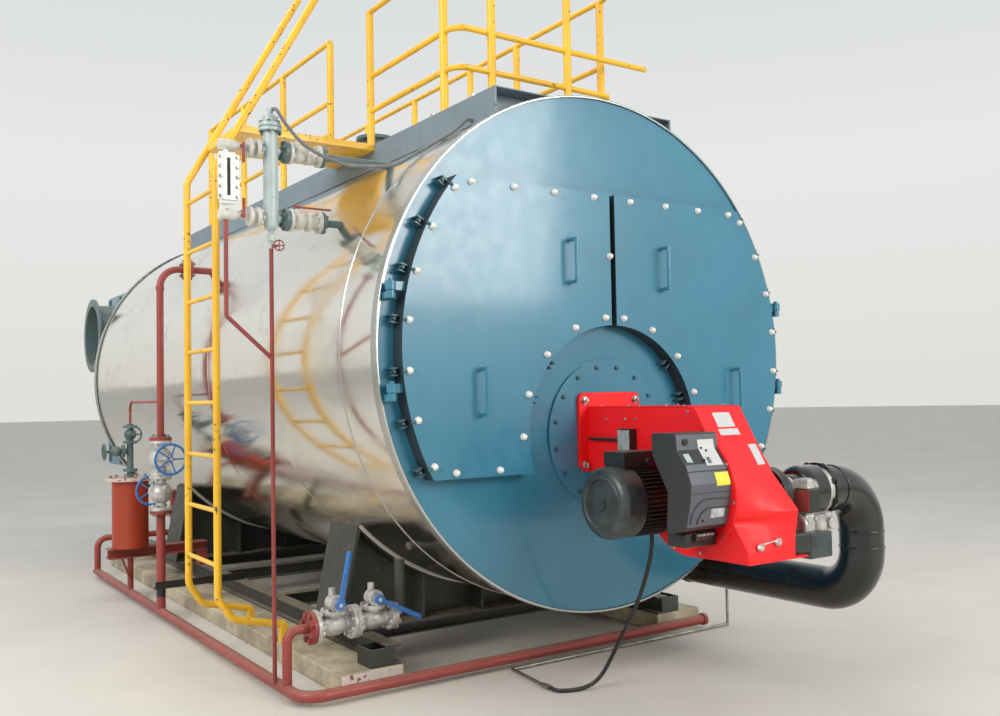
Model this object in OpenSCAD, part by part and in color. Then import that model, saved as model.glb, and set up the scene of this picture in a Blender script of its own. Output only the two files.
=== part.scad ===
// Horizontal fire-tube steam boiler with a forced-draught burner, ladder and
// platform, on two concrete plinths. Front plate faces -Y, the shell runs
// along +Y, and the floor is z = 0. The node modules are drawn
// with x = y = 0 at the middle of the front plate, then placed in the frame.

/* [Shell] */
// Radius of the cladding
shell_r = 1335; // [1200:5:1400]
// Thickness of the insulated wall
wall_t = 95; // [60:5:120]
// Length from the front face to the rear face
shell_len = 5752; // [5200:10:6400]
// Height of the shell's underside above the floor
belly_z = 368; // [330:1:460]
// How far the bright end rims stand out of the cladding
rim_h = 15; // [10:1:40]

/* [Doors] */
// Distance from the cladding in to the round edge of the smokebox doors
door_in = 80; // [76:1:90]
// How far the door face stands in front of the plate
door_t = 85; // [60:1:100]
// Radius of the cut-out around the burner
cut_r = 560; // [540:1:580]
// Top edge of the doors above the shell axis
door_rise = 819; // [800:1:850]
// Bottom edge of the doors below the shell axis
door_drop = 603; // [560:1:615]
// Gap between the two doors
door_gap = 34; // [20:1:40]

/* [Burner] */
// How far the burner axis lies below the shell axis
burner_drop = 426; // [415:1:435]
// Width of the burner housing
burner_w = 300; // [260:10:320]

/* [Platform] */
// Height of the deck above the top of the shell
deck_gap = 12; // [8:1:60]
// Half width of the deck
deck_w = 600; // [580:1:620]
// Height of the top rail above the deck
rail_h = 875; // [750:5:1200]

/* [Pipes] */
// Distance of the pipe along the left side from the cladding
side_gap = 160; // [145:1:185]
// Radius of the floor pipes
floor_pipe_r = 29; // [24:1:36]

/* [Hidden] */
$fn = 64;
e = 0.3;
// the frame's origin is on the floor under the middle of the whole boiler
centre = [230, -2821, 0];
axis_z = belly_z + shell_r;
crown_z = axis_z + shell_r;
rim_r = shell_r + rim_h;
door_r = shell_r - door_in;
door_top = axis_z + door_rise;
door_bottom = axis_z - door_drop;
burner_z = axis_z - burner_drop;
deck_z = crown_z + deck_gap;
rail_z = deck_z + rail_h;
side_x = -(shell_r + side_gap);
// how far groups of fittings move with the shell's size
lift = axis_z - 1703;
crown_lift = crown_z - 3038;
side_shift = side_x + 1495;

// helpers
// puts a node from the front plate's place into the frame
module placed() translate(centre) children();
// cylinder along X from x0 to x1
module cx(x0, x1, y, z, r) translate([x0, y, z]) rotate([0, 90, 0]) cylinder(h = x1 - x0, r = r);
// cylinder along Y from y0 to y1
module cy(y0, y1, x, z, r) translate([x, y0, z]) rotate([-90, 0, 0]) cylinder(h = y1 - y0, r = r);
// cylinder along Z from z0 to z1
module cz(z0, z1, x, y, r) translate([x, y, z0]) cylinder(h = z1 - z0, r = r);
// box from corner a to corner b
module bx(a, b) translate(a) cube(b - a);
// quarter bend: starts at the origin along +Z, ends along +X
module bend(rad, r, ang = 90)
  translate([rad, 0, 0]) rotate([90, 0, 0]) rotate([0, 0, 180 - ang])
    rotate_extrude(angle = ang) translate([rad, 0]) circle(r = r);
// straight bar of round section between two points
module bar(a, b, r) {
  v = b - a;
  l = norm(v);
  translate(a)
    rotate([0, acos(v[2] / l), atan2(v[1], v[0])])
      cylinder(h = l, r = r);
}
// swept tube along a list of points
module sweep(pts, r, n = 8, up = [0, 0, 1]) {
  m = len(pts);
  tan = [for (i = [0:m - 1])
    let (a = pts[max(i - 1, 0)], b = pts[min(i + 1, m - 1)]) (b - a) / norm(b - a)];
  rings = [for (i = [0:m - 1])
    let (s0 = cross(tan[i], up), s = s0 / norm(s0), u = cross(s, tan[i]))
      for (k = [0:n - 1]) pts[i] + r * (cos(360 * k / n) * s + sin(360 * k / n) * u)];
  faces = concat(
    [[for (k = [0:n - 1]) k]],
    [for (i = [0:m - 2]) for (k = [0:n - 1])
      [i * n + k, (i + 1) * n + k, (i + 1) * n + (k + 1) % n, i * n + (k + 1) % n]],
    [[for (k = [n - 1:-1:0]) (m - 1) * n + k]]);
  polyhedron(points = rings, faces = faces, convexity = 6);
}

// whatever meets the shell from outside ends on the cladding
module trimmed(y0, y1) difference() {
  children();
  cy(y0, y1, 0, axis_z, shell_r + e, $fn = 720);
}

// shell
module ring_y(y0, y1, ro, ri) {
  difference() {
    cy(y0, y1, 0, axis_z, ro);
    cy(y0 - 1, y1 + 1, 0, axis_z, ri);
  }
}
module shell() placed() {
  color("silver") ring_y(405, shell_len - 25, shell_r, shell_r - wall_t);
}
module front_smokebox() placed() {
  color("silver") ring_y(25, 405, shell_r, shell_r - wall_t);
}
module end_rims() placed() {
  color("gainsboro") {
    ring_y(-12, 40, rim_r, shell_r + 4);
    ring_y(shell_len - 40, shell_len + 12, rim_r, shell_r + 4);
  }
}
// outline of one door in the plane of the front plate, right side
module door_outline(r, cut, top, bottom, gap) {
  difference() {
    translate([0, axis_z]) circle(r = r, $fn = 128);
    translate([0, burner_z]) circle(r = cut, $fn = 96);
    translate([-2000, top]) square([4000, 2000]);
    translate([-2000, bottom - 2000]) square([4000, 2000]);
    translate([gap / 2 - 4000, -100]) square([4000, 5000]);
  }
}
module door_slab(y0, y1, r, cut, top, bottom, gap)
  translate([0, y1, 0]) rotate([90, 0, 0]) linear_extrude(y1 - y0)
    door_outline(r, cut, top, bottom, gap);

module front_plate() placed() {
  color("cadetblue") difference() {
    cy(0, 25, 0, axis_z, shell_r + 4 - e);
    for (s = [0, 1]) mirror([s, 0, 0])
      door_slab(-5, 30, 1170, 660, door_top - 80, door_bottom + 80, 150);
    cy(-5, 30, 0, burner_z, 290);
  }
}
module rear_plate() placed() {
  color("cadetblue") cy(shell_len - 25, shell_len, 0, axis_z, shell_r + 4 - e);
}
module tube_plate() placed() {
  color("dimgray") difference() {
    cy(380, 405, 0, axis_z, shell_r - wall_t - e);
    for (s = [-1, 1]) for (i = [0:2]) for (j = [0:1])
      cy(370, 415, s * (700 + 130 * j), axis_z - 143 + 160 * i, 38);
    cy(370, 415, 0, burner_z, 430);
  }
}
module burner_throat() placed() {
  color("dimgray") difference() {
    cy(25, 380, 0, burner_z, 520);
    cy(20, 390, 0, burner_z, 290);
  }
}
module burner_ring() placed() {
  color("steelblue") difference() {
    cy(-14, 0, 0, burner_z, 386);
    cy(-20, 5, 0, burner_z, 180);
  }
}
module hinge_lug(z, y_axis, x_axis) {
  difference() {
    union() {
      cz(z + 2, z + 42, x_axis, y_axis, 24);
      bx([door_r - 65, y_axis, z + 2], [x_axis, y_axis + 20, z + 42]);
    }
    cz(z - 5, z + 50, x_axis, y_axis, 12.05);
  }
}
hinge_x = door_r + 41;
hinge_y = -60;
hinge_zs = [axis_z - 203, axis_z + 259];
module door_panel() {
  color("steelblue") {
    difference() {
      union() {
        door_slab(-door_t, 0, door_r, cut_r, door_top, door_bottom, door_gap);
      }
      door_slab(-door_t + 14, 5, door_r - 40, cut_r + 40, door_top - 40, door_bottom + 40, door_gap + 80);
    }
    for (z = hinge_zs) hinge_lug(z, hinge_y, hinge_x);
  }
}
bolt_r = door_r - 31;
module ball_bolt(x, z) {
  translate([x, -door_t, z]) rotate([90, 0, 0]) {
    cylinder(h = 8, r = 17, $fn = 24);
    translate([0, 0, 20]) sphere(r = 15, $fn = 24);
  }
}
module door_bolts() {
  color("silver") {
    for (a = [-26.2:10.7:40]) ball_bolt(bolt_r * cos(a), axis_z + bolt_r * sin(a));
    for (x = [125, 380, 627, 872]) ball_bolt(x, door_top - 27);
    for (a = [84, 64, 42, 20, 0]) ball_bolt((cut_r + 38) * cos(a), burner_z + 3 + (cut_r + 38) * sin(a));
    for (x = [738, 982]) ball_bolt(x, door_bottom + 28);
  }
}
module left_door_bolts() placed() {
  mirror([1, 0, 0]) door_bolts();
  color("silver") ball_bolt(-26, door_top - 326);
}
module right_door_bolts() placed() {
  door_bolts();
}
module d_handle(x, z0, z1) {
  color("steelblue") {
    bar([x, -door_t + 4, z0], [x, -door_t - 60, z0], 8);
    bar([x, -door_t + 4, z1], [x, -door_t - 60, z1], 8);
    bar([x, -door_t - 60, z0 - 8], [x, -door_t - 60, z1 + 8], 8);
  }
}
module left_door() placed() {
  mirror([1, 0, 0]) door_panel();
  d_handle(-290, door_top - 475, door_top - 260);
  d_handle(-838, door_bottom + 295, door_bottom + 510);
}
module right_door() placed() {
  door_panel();
  d_handle(342, door_top - 482, door_top - 260);
  d_handle(880, door_bottom + 295, door_bottom + 510);
}
module door_clamps() placed() {
  color("cadetblue") for (s = [0, 1]) mirror([s, 0, 0])
    for (a = [-26.2:10.7:40])
      translate([0, 0, axis_z]) rotate([0, -a, 0])
        for (k = [-1, 1]) bx([door_r + 8, -56, k * 16 - 4], [door_r + 44, 0, k * 16 + 4]);
  color("cadetblue") for (s = [0, 1]) mirror([s, 0, 0])
    for (a = [20, 42])
      translate([0, 0, burner_z + 3]) rotate([0, -a, 0])
        for (k = [-1, 1]) bx([cut_r - 46, -52, k * 16 - 4], [cut_r - 10, 0, k * 16 + 4]);
}
module hinge_brackets() placed() {
  color("cadetblue") for (s = [0, 1]) mirror([s, 0, 0]) for (z = hinge_zs) {
    bx([hinge_x - 30, hinge_y + 10, z - 36], [hinge_x + 16, 0, z - 6]);
    cz(z - 36, z, hinge_x, hinge_y, 20);
    cz(z - 10, z + 54, hinge_x, hinge_y, 12);
  }
}

// burner
half_w = burner_w / 2;
vol_y = -742;
vol_z = 1027;
module burner_housing() placed() translate([0, 0, lift]) {
  color("red") {
    difference() {
      translate([-half_w, 0, 0]) rotate([90, 0, 90]) linear_extrude(burner_w)
        union() {
          polygon([[-50, 1415], [-786, 1415], [-861, 1289], [vol_y, vol_z], [-470, 940],
            [-300, 1085], [-50, 1100]]);
          translate([vol_y, vol_z]) circle(r = 288);
        }
      cy(-140, 0, 0, burner_z - lift, 110);
    }
    // the front widens from the round left side to the straight right side
    intersection() {
      translate([-half_w, 0, 0]) rotate([90, 0, 90]) linear_extrude(burner_w)
        polygon([[-600, 1412], [-785, 1412], [-955, 1127], [-1108, 957], [-1103, 840], [-600, 840]]);
      translate([0, 0, 800]) linear_extrude(700)
        polygon([[-half_w, -970], [half_w, -1112], [half_w, -640], [-half_w, -640]]);
    }
    bx([-half_w, -1080, 742], [half_w, -800, 845]);
    bx([half_w - 5, -1080, 742], [half_w + 90, -860, 750]);
    difference() {
      translate([0, -14, 0]) rotate([90, 0, 0]) linear_extrude(36) union() {
        polygon([[-207, 1135], [-165, 1085], [165, 1085], [207, 1135], [207, 1455], [172, 1455],
          [172, 1490], [-172, 1490], [-172, 1455], [-207, 1455]]);
        for (x = [-172, 172]) translate([x, 1455]) circle(r = 35);
      }
      cy(-140, 0, 0, burner_z - lift, 110);
    }
  }
}
mot_y = -520;
mot_z = 984;
module burner_motor() placed() translate([0, 0, lift]) {
  color("dimgray") {
    cx(-460, -300, mot_y, mot_z, 165);
    cx(-486, -460, mot_y, mot_z, 128);
    cx(-496, -486, mot_y, mot_z, 30);
    cx(-300, -half_w, mot_y, mot_z, 138);
    for (i = [0:5]) cx(-292 + 22 * i, -280 + 22 * i, mot_y, mot_z, 165);
  }
}
module control_cover() placed() translate([0, 0, lift]) {
  color("dimgray") translate([-400, 0, 0]) rotate([90, 0, 90]) linear_extrude(400 - half_w)
    polygon([[-761, 1309], [-916, 1306], [-922, 1238], [-975, 1173], [-1005, 1096], [-995, 1020],
      [-970, 911], [-956, 896], [-846, 873], [-858, 1053], [-769, 1205]]);
}
module burner_switches() placed() translate([0, 0, lift]) {
  color("black") {
    bx([-405, -592, mot_z + 165 + e], [-235, -452, mot_z + 231]);
    bx([-195, -400, 1200], [-half_w, -310, 1310]);
    bar([-165, -400, 1255], [-165, -60, 1255], 8);
  }
}
run_y = -880;
run_z = burner_z - 273;
pipe_r = 108;
leg_x = 905;
leg_z = 459;
bend_r = 220;
module gas_valve() placed() {
  color("gray") {
    cx(half_w, half_w + 60, run_y, run_z, 85);
    cx(half_w + 60, half_w + 90, run_y, run_z, 125);
    cx(half_w + 90, 400, run_y, run_z, 78);
    cx(400, 440, run_y, run_z, 135);
    cx(440, 560, run_y, run_z, 112);
    cx(560, 600, run_y, run_z, 128);
    // two drives in front of the valve body
    bx([300, run_y - 170, run_z - 81], [377, run_y - 60, run_z + 27]);
    bx([340, run_y - 105, run_z - 200], [560, run_y + 40, run_z - 90]);
    bx([half_w, run_y - 170, run_z - 253], [300, run_y - 50, run_z - 166]);
    bx([296, run_y - 165, run_z - 291], [461, run_y - 45, run_z - 172]);
  }
}
module recirculation_pipe() placed() {
  color("black") {
    cx(600, leg_x - bend_r, run_y, run_z, pipe_r);
    // elbow from +X down
    translate([leg_x - bend_r, run_y, run_z - bend_r]) rotate([90, 0, 0])
      rotate_extrude(angle = 90) translate([bend_r, 0]) circle(r = pipe_r);
    cz(leg_z + bend_r, run_z - bend_r, leg_x, run_y, pipe_r);
    // elbow from down to +Y
    translate([leg_x, run_y + bend_r, leg_z + bend_r]) rotate([0, 90, 0])
      rotate([0, 0, 0]) mirror([0, 1, 0]) rotate_extrude(angle = 90)
        translate([bend_r, 0]) circle(r = pipe_r);
    cy(run_y + bend_r, shell_len + 450, leg_x, leg_z, pipe_r);
    translate([leg_x, shell_len + 450, leg_z + bend_r]) rotate([0, 90, 0])
      rotate_extrude(angle = 90) translate([bend_r, 0]) circle(r = pipe_r);
    cz(leg_z + bend_r, 860, leg_x, shell_len + 450 + bend_r, pipe_r);
  }
}

// base
module plinths() placed() {
  color("darkgray") for (s = [0, 1]) mirror([s, 0, 0]) bx([896, 597, 0], [1260, shell_len - 252, 100]);
}
module base_beams() placed() {
  color("black") {
    for (s = [0, 1]) mirror([s, 0, 0]) {
      difference() {
        bx([905, 605, 100], [995, shell_len - 272, 205]);
        bx([957, 600, 110], [1000, shell_len - 252, 195]);
        bx([900, 600, 110], [943, shell_len - 252, 195]);
      }
      difference() {
        bx([957, 605, 100], [1085, 760, 195]);
        bx([965, 613, 108], [1077, 752, 200]);
      }
    }
    for (y = [1125, 2250, 3390, 4190, shell_len - 452]) difference() {
      bx([-950, y - 45, 115], [950, y + 45, 205]);
      bx([-900, y - 50, 125], [900, y - 5, 195]);
      bx([-900, y + 5, 125], [900, y + 50, 195]);
    }
  }
}
saddle_ys = [1125, 4190];
saddle_w = 175;
saddle_z = belly_z + 417;
saddle_x = sqrt(pow(shell_r, 2) - pow(axis_z - saddle_z, 2)) + 0.72;
module saddles() placed() {
  color("black") for (y = saddle_ys) difference() {
    union() {
      translate([0, y + 10, 0]) rotate([90, 0, 0]) linear_extrude(20)
        polygon([[-1085, 205], [1085, 205], [saddle_x, saddle_z], [-saddle_x, saddle_z]]);
      for (s = [0, 1]) mirror([s, 0, 0]) {
        translate([0, y + saddle_w, 0]) rotate([90, 0, 0]) linear_extrude(2 * saddle_w)
          polygon([[1081, 205], [1097, 205], [saddle_x + 12, saddle_z], [saddle_x - 10, saddle_z]]);
        bx([552, y - 150, 210], [568, y + 150, saddle_z]);
        bx([150, y - 150, 210], [166, y + 150, saddle_z]);
      }
      bx([-1090, y - saddle_w, 205], [1090, y + saddle_w, 217]);
      intersection() {
        cy(y - saddle_w, y + saddle_w, 0, axis_z, shell_r + 18);
        bx([-saddle_x - 15, y - 300, 300], [saddle_x + 15, y + 300, saddle_z]);
      }
    }
    cy(y - 300, y + 300, 0, axis_z, shell_r + e);
    cy(y - 300, y + 300, leg_x, leg_z, pipe_r + 10);
  }
}
back_w = 1000;
back_z0 = axis_z - 843;
back_z1 = axis_z + 867;
module rear_smokebox() placed() {
  color("steelblue") {
    bx([-back_w, shell_len, back_z0], [back_w, shell_len + 1000, back_z1]);
  }
}
flue_z = axis_z + 447;
module flue_outlet() placed() {
  color("slategray") difference() {
    union() {
      cx(-1250, -back_w, shell_len + 500, flue_z, 300);
      cx(-1270, -1250, shell_len + 500, flue_z, 360);
    }
    cx(-1280, -back_w - 5, shell_len + 500, flue_z, 290);
    for (a = [0:30:359])
      translate([0, shell_len + 500 + 330 * cos(a), flue_z + 330 * sin(a)]) cx(-1280, -1240, 0, 0, 9);
  }
}

// feed line
feed_y = 2958;
feed_z = axis_z + 707;
module feed_pipe() placed() {
  color("firebrick") {
    trimmed(feed_y - 100, feed_y + 100) cx(side_x + 130, -(shell_r - 235), feed_y, feed_z, 24);
    for (x = [-(shell_r - 5), -(shell_r - 31)]) cx(x, x + 22, feed_y, feed_z, 75);
    translate([side_x, feed_y, feed_z - 130]) bend(130, 24);
    cz(1240, feed_z - 140, side_x, feed_y, 24);
    cz(feed_z - 150, feed_z - 125, side_x, feed_y, 28);
    cz(1218, 1240, side_x, feed_y, 75);
    cz(716, 738, side_x, feed_y, 75);
    cz(150, 716, side_x, feed_y, 30);
  }
  color("black") {
    bx([side_x - 45, feed_y - 30, 205], [-920, feed_y + 30, 213]);
    bx([side_x - 45, feed_y - 30, 213], [-920, feed_y - 22, 255]);
  }
}
valve_h = 120 - e / 2;
upper_z = 1098;
lower_z = 858;
module globe_valve(zc, s) {
  z0 = zc - valve_h;
  z1 = zc + valve_h;
  cz(z1 - 22, z1, side_x, feed_y, 75);
  cz(z0, z0 + 22, side_x, feed_y, 75);
  cz(z0, z1, side_x, feed_y, 34);
  translate([side_x, feed_y, zc]) sphere(r = 78);
  translate([side_x, feed_y, zc]) rotate([s * 90, 0, 0]) cylinder(h = 150, r = 42);
  translate([side_x, feed_y, zc]) rotate([s * 90, 0, 0]) cylinder(h = 262, r = 9.95);
}
module feed_valves() placed() {
  color("silver") {
    globe_valve(upper_z, 1);
    globe_valve(lower_z, -1);
  }
}
module wheel(r, w) {
  rotate_extrude($fn = 48) translate([r, 0]) circle(r = w, $fn = 12);
  for (a = [0:72:359]) rotate([0, 0, a]) translate([10, 0, 0]) rotate([0, 90, 0])
    cylinder(h = r - 10, r = w * 0.6, $fn = 12);
  difference() {
    translate([0, 0, -12]) cylinder(h = 24, r = 18, $fn = 24);
    translate([0, 0, -20]) cylinder(h = 40, r = 10, $fn = 64);
  }
}
module feed_wheel_upper() placed() {
  color("steelblue") translate([side_x, feed_y - 245, upper_z]) rotate([90, 0, 0]) wheel(100, 9);
}
module feed_wheel_lower() placed() {
  color("steelblue") translate([side_x, feed_y + 245, lower_z]) rotate([-90, 0, 0]) wheel(100, 9);
}
ves_y = 3800;
module feed_vessel() placed() {
  color("orangered") {
    cz(389, 890, side_x, ves_y, 131);
    cz(890, 915, side_x, ves_y, 165);
  }
}
module vessel_frame() placed() {
  color("firebrick") {
    difference() {
      bx([side_x - 165, ves_y - 60, 315], [-925, ves_y + 60, 389]);
      bx([side_x - 175, ves_y - 70, 323], [-915, ves_y - 8, 381]);
      bx([side_x - 175, ves_y + 8, 323], [-915, ves_y + 70, 381]);
    }
    bx([-985, ves_y - 45, 205], [-925, ves_y + 45, 325]);
    bar([side_x - 74, ves_y - 45, 320], [side_x - 8, ves_y - 45, 144], 9);
  }
}
module vessel_piping() placed() {
  color("darkslategray") {
    cz(915, 1320, side_x, ves_y, 24);
    for (z = [960, 1172, 1290]) cz(z, z + 20, side_x, ves_y, 52);
    translate([side_x, ves_y, 1242]) sphere(r = 45);
    cy(ves_y - 100, ves_y, side_x, 1242, 12);
    translate([side_x, ves_y - 100, 1242]) rotate([90, 0, 0])
      rotate_extrude($fn = 48) translate([58, 0]) circle(r = 7, $fn = 12);
    translate([side_x - 58, ves_y - 106, 1236]) cube([116, 12, 12]);
    // side valve towards -X
    cx(side_x - 150, side_x, ves_y, 1115, 20);
    cx(side_x - 60, side_x - 42, ves_y, 1115, 46);
    translate([side_x - 100, ves_y, 1115]) sphere(r = 38);
    cx(side_x - 190, side_x - 140, ves_y, 1115, 12);
    translate([side_x - 188, ves_y, 1115]) rotate([0, 90, 0])
      rotate_extrude($fn = 48) translate([58, 0]) circle(r = 7, $fn = 12);
    translate([side_x - 194, ves_y - 6, 1057]) cube([12, 12, 116]);
  }
  color("firebrick") {
    cz(1320, 1425, side_x, ves_y, 9);
    cz(1417, 1433, side_x, ves_y, 12);
    translate([side_x, ves_y, 1425]) rotate([0, 0, -90]) bend(60, 9);
    cy(feed_y + 24.2, ves_y - 60, side_x, 1485, 9);
    cy(ves_y - 68, ves_y - 52, side_x, 1485, 12);
  }
}
module floor_pipes() placed() {
  color("indianred") {
    cy(620, rear_y + 40, side_x, 50, floor_pipe_r);
    translate([side_x + 120, 620, 50]) rotate([0, 0, 180]) rotate_extrude(angle = 90)
      translate([120, 0]) circle(r = floor_pipe_r);
    cx(side_x + 120, 1180, 500, 50, floor_pipe_r);
    cx(1180, 1205, 500, 50, floor_pipe_r + 8);
    cz(50, blow_z - 60, side_x, blow_y, floor_pipe_r - 5);
    cz(50, 150, side_x, feed_y, 30);
    cz(50, 315, side_x, ves_y, 22);
    cz(50, 250, side_x, rear_y, 26);
    translate([side_x, rear_y, 250]) bend(80, 26);
    cx(side_x + 80, -860, rear_y, 330, 26);
    translate([-860, rear_y, 330]) sphere(r = 27);
    trimmed(rear_y - 100, rear_y + 100) cz(330, 800, -860, rear_y, 26);
    cz(60, low_z - 155, col_x, col_y, 11);
    bar([col_x - 234, col_y, low_z - 28], [col_x - 234, col_y, low_z - 505], 11);
    bar([col_x - 234, col_y, low_z - 505], [col_x, col_y, low_z - 715], 11);
  }
}

// blow-down
blow_y = 700;
blow_z = 335;
module blowdown_valves() placed() {
  color("indianred") {
    translate([side_x, blow_y, blow_z - 60]) bend(60, 24);
    translate([side_shift, 0, 0]) {
      cx(-1440, -1380, blow_y, blow_z, 26);
      cx(-1380, -1358, blow_y, blow_z, 85);
    }
  }
  color("silver") translate([side_shift, 0, 0]) for (x = [-1245, -1025]) {
    cx(x - 113 + e, x - 89, blow_y, blow_z, 85);
    cx(x - 89, x + 85, blow_y, blow_z, 45);
    translate([x, blow_y, blow_z]) sphere(r = 66);
    cz(blow_z, blow_z + 92, x, blow_y, 46);
    cz(blow_z + 92, blow_z + 136, x, blow_y, 34);
    cy(lever_y - 12, blow_y, x, blow_z + 110, 10);
    cx(x + 85, x + 107, blow_y, blow_z, x < -1100 ? 85 : 70);
  }
  color("indianred") trimmed(blow_y - 200, blow_y + 200) translate([side_shift, 0, 0]) {
    cx(-918 + e, -900, blow_y, blow_z, 70);
    cx(-900, -860, blow_y, blow_z, 30);
    translate([-860, blow_y, blow_z]) sphere(r = 31);
    cz(blow_z, 690, -860, blow_y, 30);
  }
}
lever_y = 615;
rear_y = 4925;
module lever(x, z, ang) {
  color("steelblue") translate([x, lever_y, z]) rotate([0, -ang, 0]) {
    difference() {
      rotate([90, 0, 0]) translate([0, 0, -10]) cylinder(h = 20, r = 26);
      rotate([90, 0, 0]) translate([0, 0, -15]) cylinder(h = 30, r = 10.05);
    }
    bx([20, -5, -12], [270, 5, 12]);
  }
}
module blowdown_lever_a() placed() lever(side_x + 250, blow_z + 110, 78);
module blowdown_lever_b() placed() lever(side_x + 470, blow_z + 110, -27);

// level column
col_x = -(shell_r + 185);
col_y = 800;
low_z = axis_z + 702;
high_z = axis_z + 1052;
module level_column() placed() {
  color("lightslategray") {
    cz(low_z - 30, high_z + 145, col_x, col_y, 38);
    translate([col_x, col_y, low_z - 30]) sphere(r = 38);
    cz(high_z + 133, high_z + 153, col_x, col_y, 60);
    cz(high_z + 155, high_z + 177, col_x, col_y, 60);
    cz(high_z + 177, high_z + 230, col_x, col_y, 40);
    cz(low_z - 155, low_z - 30, col_x, col_y, 14);
    cz(low_z - 118, low_z - 82, col_x, col_y, 22);
    for (z = [low_z, high_z]) cx(col_x - 48, col_x + 48, col_y, z, 20);
  }
}
module level_valves() placed() {
  color("gainsboro") for (z = [low_z, high_z]) trimmed(col_y - 200, col_y + 200)
    translate([side_shift, 0, 0]) {
    cx(-1472, -1452, col_y, z, 20);
    for (x = [-1452, -1428, -1330, -1252]) cx(x, x + 20, col_y, z, 58);
    cx(-1432, -1252, col_y, z, 34);
    cz(z, z + 62, -1380, col_y, 20);
    cz(z, z + 88, -1380, col_y, 8);
    cx(-1250, z == low_z ? -1100 : -790, col_y, z, 20);
    cx(-1640, -1568, col_y, z, 20);
    for (x = [-1600, -1640]) cx(x, x + 20, col_y, z, 50);
    cx(-1700, -1640, col_y, z, 20);
    bx([-1790, col_y - 28, z - 28], [-1700, col_y + 28, z + 28]);
  }
}
module level_gauge() placed() {
  color("white") {
    bx([col_x - 290, col_y - 55, low_z + 60], [col_x - 178, col_y - 40, high_z - 55]);
    bx([col_x - 255, col_y - 40, low_z + 28], [col_x - 213, col_y + 15, high_z - 28]);
  }
}
module gauge_lever() placed() translate([side_shift, 0, 0]) {
  color("firebrick") {
    translate([-1380, col_y, low_z + 66]) difference() {
      cylinder(h = 12, r = 18);
      translate([0, 0, -2]) cylinder(h = 20, r = 8.05);
    }
    bx([-1366, col_y - 9, low_z + 68], [-1190, col_y + 9, low_z + 76]);
  }
}

// ladder and platform
lad_x = -(shell_r + 265);
lad_y0 = 1430;
lad_y1 = 1965;
top_x = -870;
knee_z = deck_z - 250;
top_z = deck_z + 1040;
lad_r = 21;
module ladder() placed() {
  color("gold") {
    for (y = [lad_y0, lad_y1]) {
      cz(395, knee_z, lad_x, y, lad_r);
      translate([lad_x, y, 395]) sphere(r = lad_r + 1);
      bar([lad_x, y, 395], [lad_x + 80, y, 270], lad_r);
      translate([lad_x + 80, y, 270]) sphere(r = lad_r + 1);
      bar([lad_x + 80, y, 270], [-1222, y, 200], lad_r);
      bx([-1245, y - 24, 100], [-1205, y + 24, 205]);
      translate([lad_x, y, knee_z]) sphere(r = lad_r + 1);
      bar([lad_x, y, knee_z], [top_x, y, top_z], lad_r);
    }
    for (i = [0:7]) cy(lad_y0, lad_y1, lad_x, 572 + 300 * i, 13);
    bx([lad_x + 125, lad_y0 - 10, deck_z - 40], [-deck_w - 10, lad_y1 + 10, deck_z]);
  }
}
module platform_deck() placed() {
  color("lightslategray") difference() {
    bx([-deck_w, 88, deck_z - 6], [deck_w, shell_len - 552, deck_z]);
    cz(deck_z - 20, deck_z + 20, 0, 2600, 150);
    cz(deck_z - 20, deck_z + 20, 0, 1200, 110);
    cz(deck_z - 20, deck_z + 20, 0, 1700, 110);
  }
}
skirt_z = axis_z + sqrt(pow(shell_r, 2) - pow(deck_w, 2)) + 1.43;
module platform_beams() placed() {
  color("slategray") for (s = [0, 1]) mirror([s, 0, 0]) {
    bx([deck_w, 88, skirt_z], [deck_w + 10, shell_len - 552, deck_z]);
    for (y = [200, 1100, 2000, 2900, 3800, 4700]) difference() {
      bx([deck_w - 300, y, skirt_z + 2], [deck_w, y + 12, deck_z - 6]);
      cy(y - 10, y + 30, 0, axis_z, shell_r + e);
    }
  }
}
post_ys = [644, 1540, 2140, 2990, 3850, 4700];
module post(x, y) bar([x, y, deck_z], [x, y, rail_z], 24);
module left_railing() placed() {
  color("gold") {
    for (y = post_ys) post(-deck_w + 30, y);
    for (z = [deck_z + 240, deck_z + 460, rail_z]) {
      bar([-deck_w + 30, 644, z], [-deck_w + 30, 1540, z], 17);
      bar([-deck_w + 30, 2140, z], [-deck_w + 30, 4700, z], 17);
    }
  }
}
module front_railing() placed() {
  color("gold") {
    for (x = [-330, 210]) post(x, 524);
    for (z = [deck_z + 240, deck_z + 460, rail_z])
      bar([-deck_w + 80, 524, z], [z == deck_z + 460 ? 830 : deck_w - 80, 524, z], 17);
  }
}
module right_railing() placed() {
  color("gold") {
    for (y = post_ys) post(deck_w - 30, y);
    for (z = [deck_z + 240, deck_z + 460, rail_z]) bar([deck_w - 30, 644, z], [deck_w - 30, 4700, z], 17);
  }
}
module steam_valve() placed() {
  color("slategray") {
    trimmed(2400, 2800) cz(crown_z - 38, crown_z + 82, 0, 2600, 84);
    translate([0, 0, crown_lift]) {
    cz(3120, 3144, 0, 2600, 140);
    cz(3144 + e, 3170, 0, 2600, 140);
    cz(3170, 3420, 0, 2600, 95);
    difference() {
      cz(3420, 3444, 0, 2600, 140);
      for (a = [22.5:45:359]) cz(3400, 3460, 112 * cos(a), 2600 + 112 * sin(a), 9);
    }
    }
  }
}
module safety_valves() placed() {
  color("silver") for (y = [1200, 1700]) {
    trimmed(y - 100, y + 100) cz(crown_z - 38, crown_z + 52, 0, y, 40);
    translate([0, 0, crown_lift]) {
    cz(3090, 3110, 0, y, 82);
    cz(3110, 3230, 0, y, 55);
    cz(3230, 3400, 0, y, 38);
    cx(0, 130, y, 3180, 40);
    cx(130, 150, y, 3180, 82);
    }
  }
}

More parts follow.
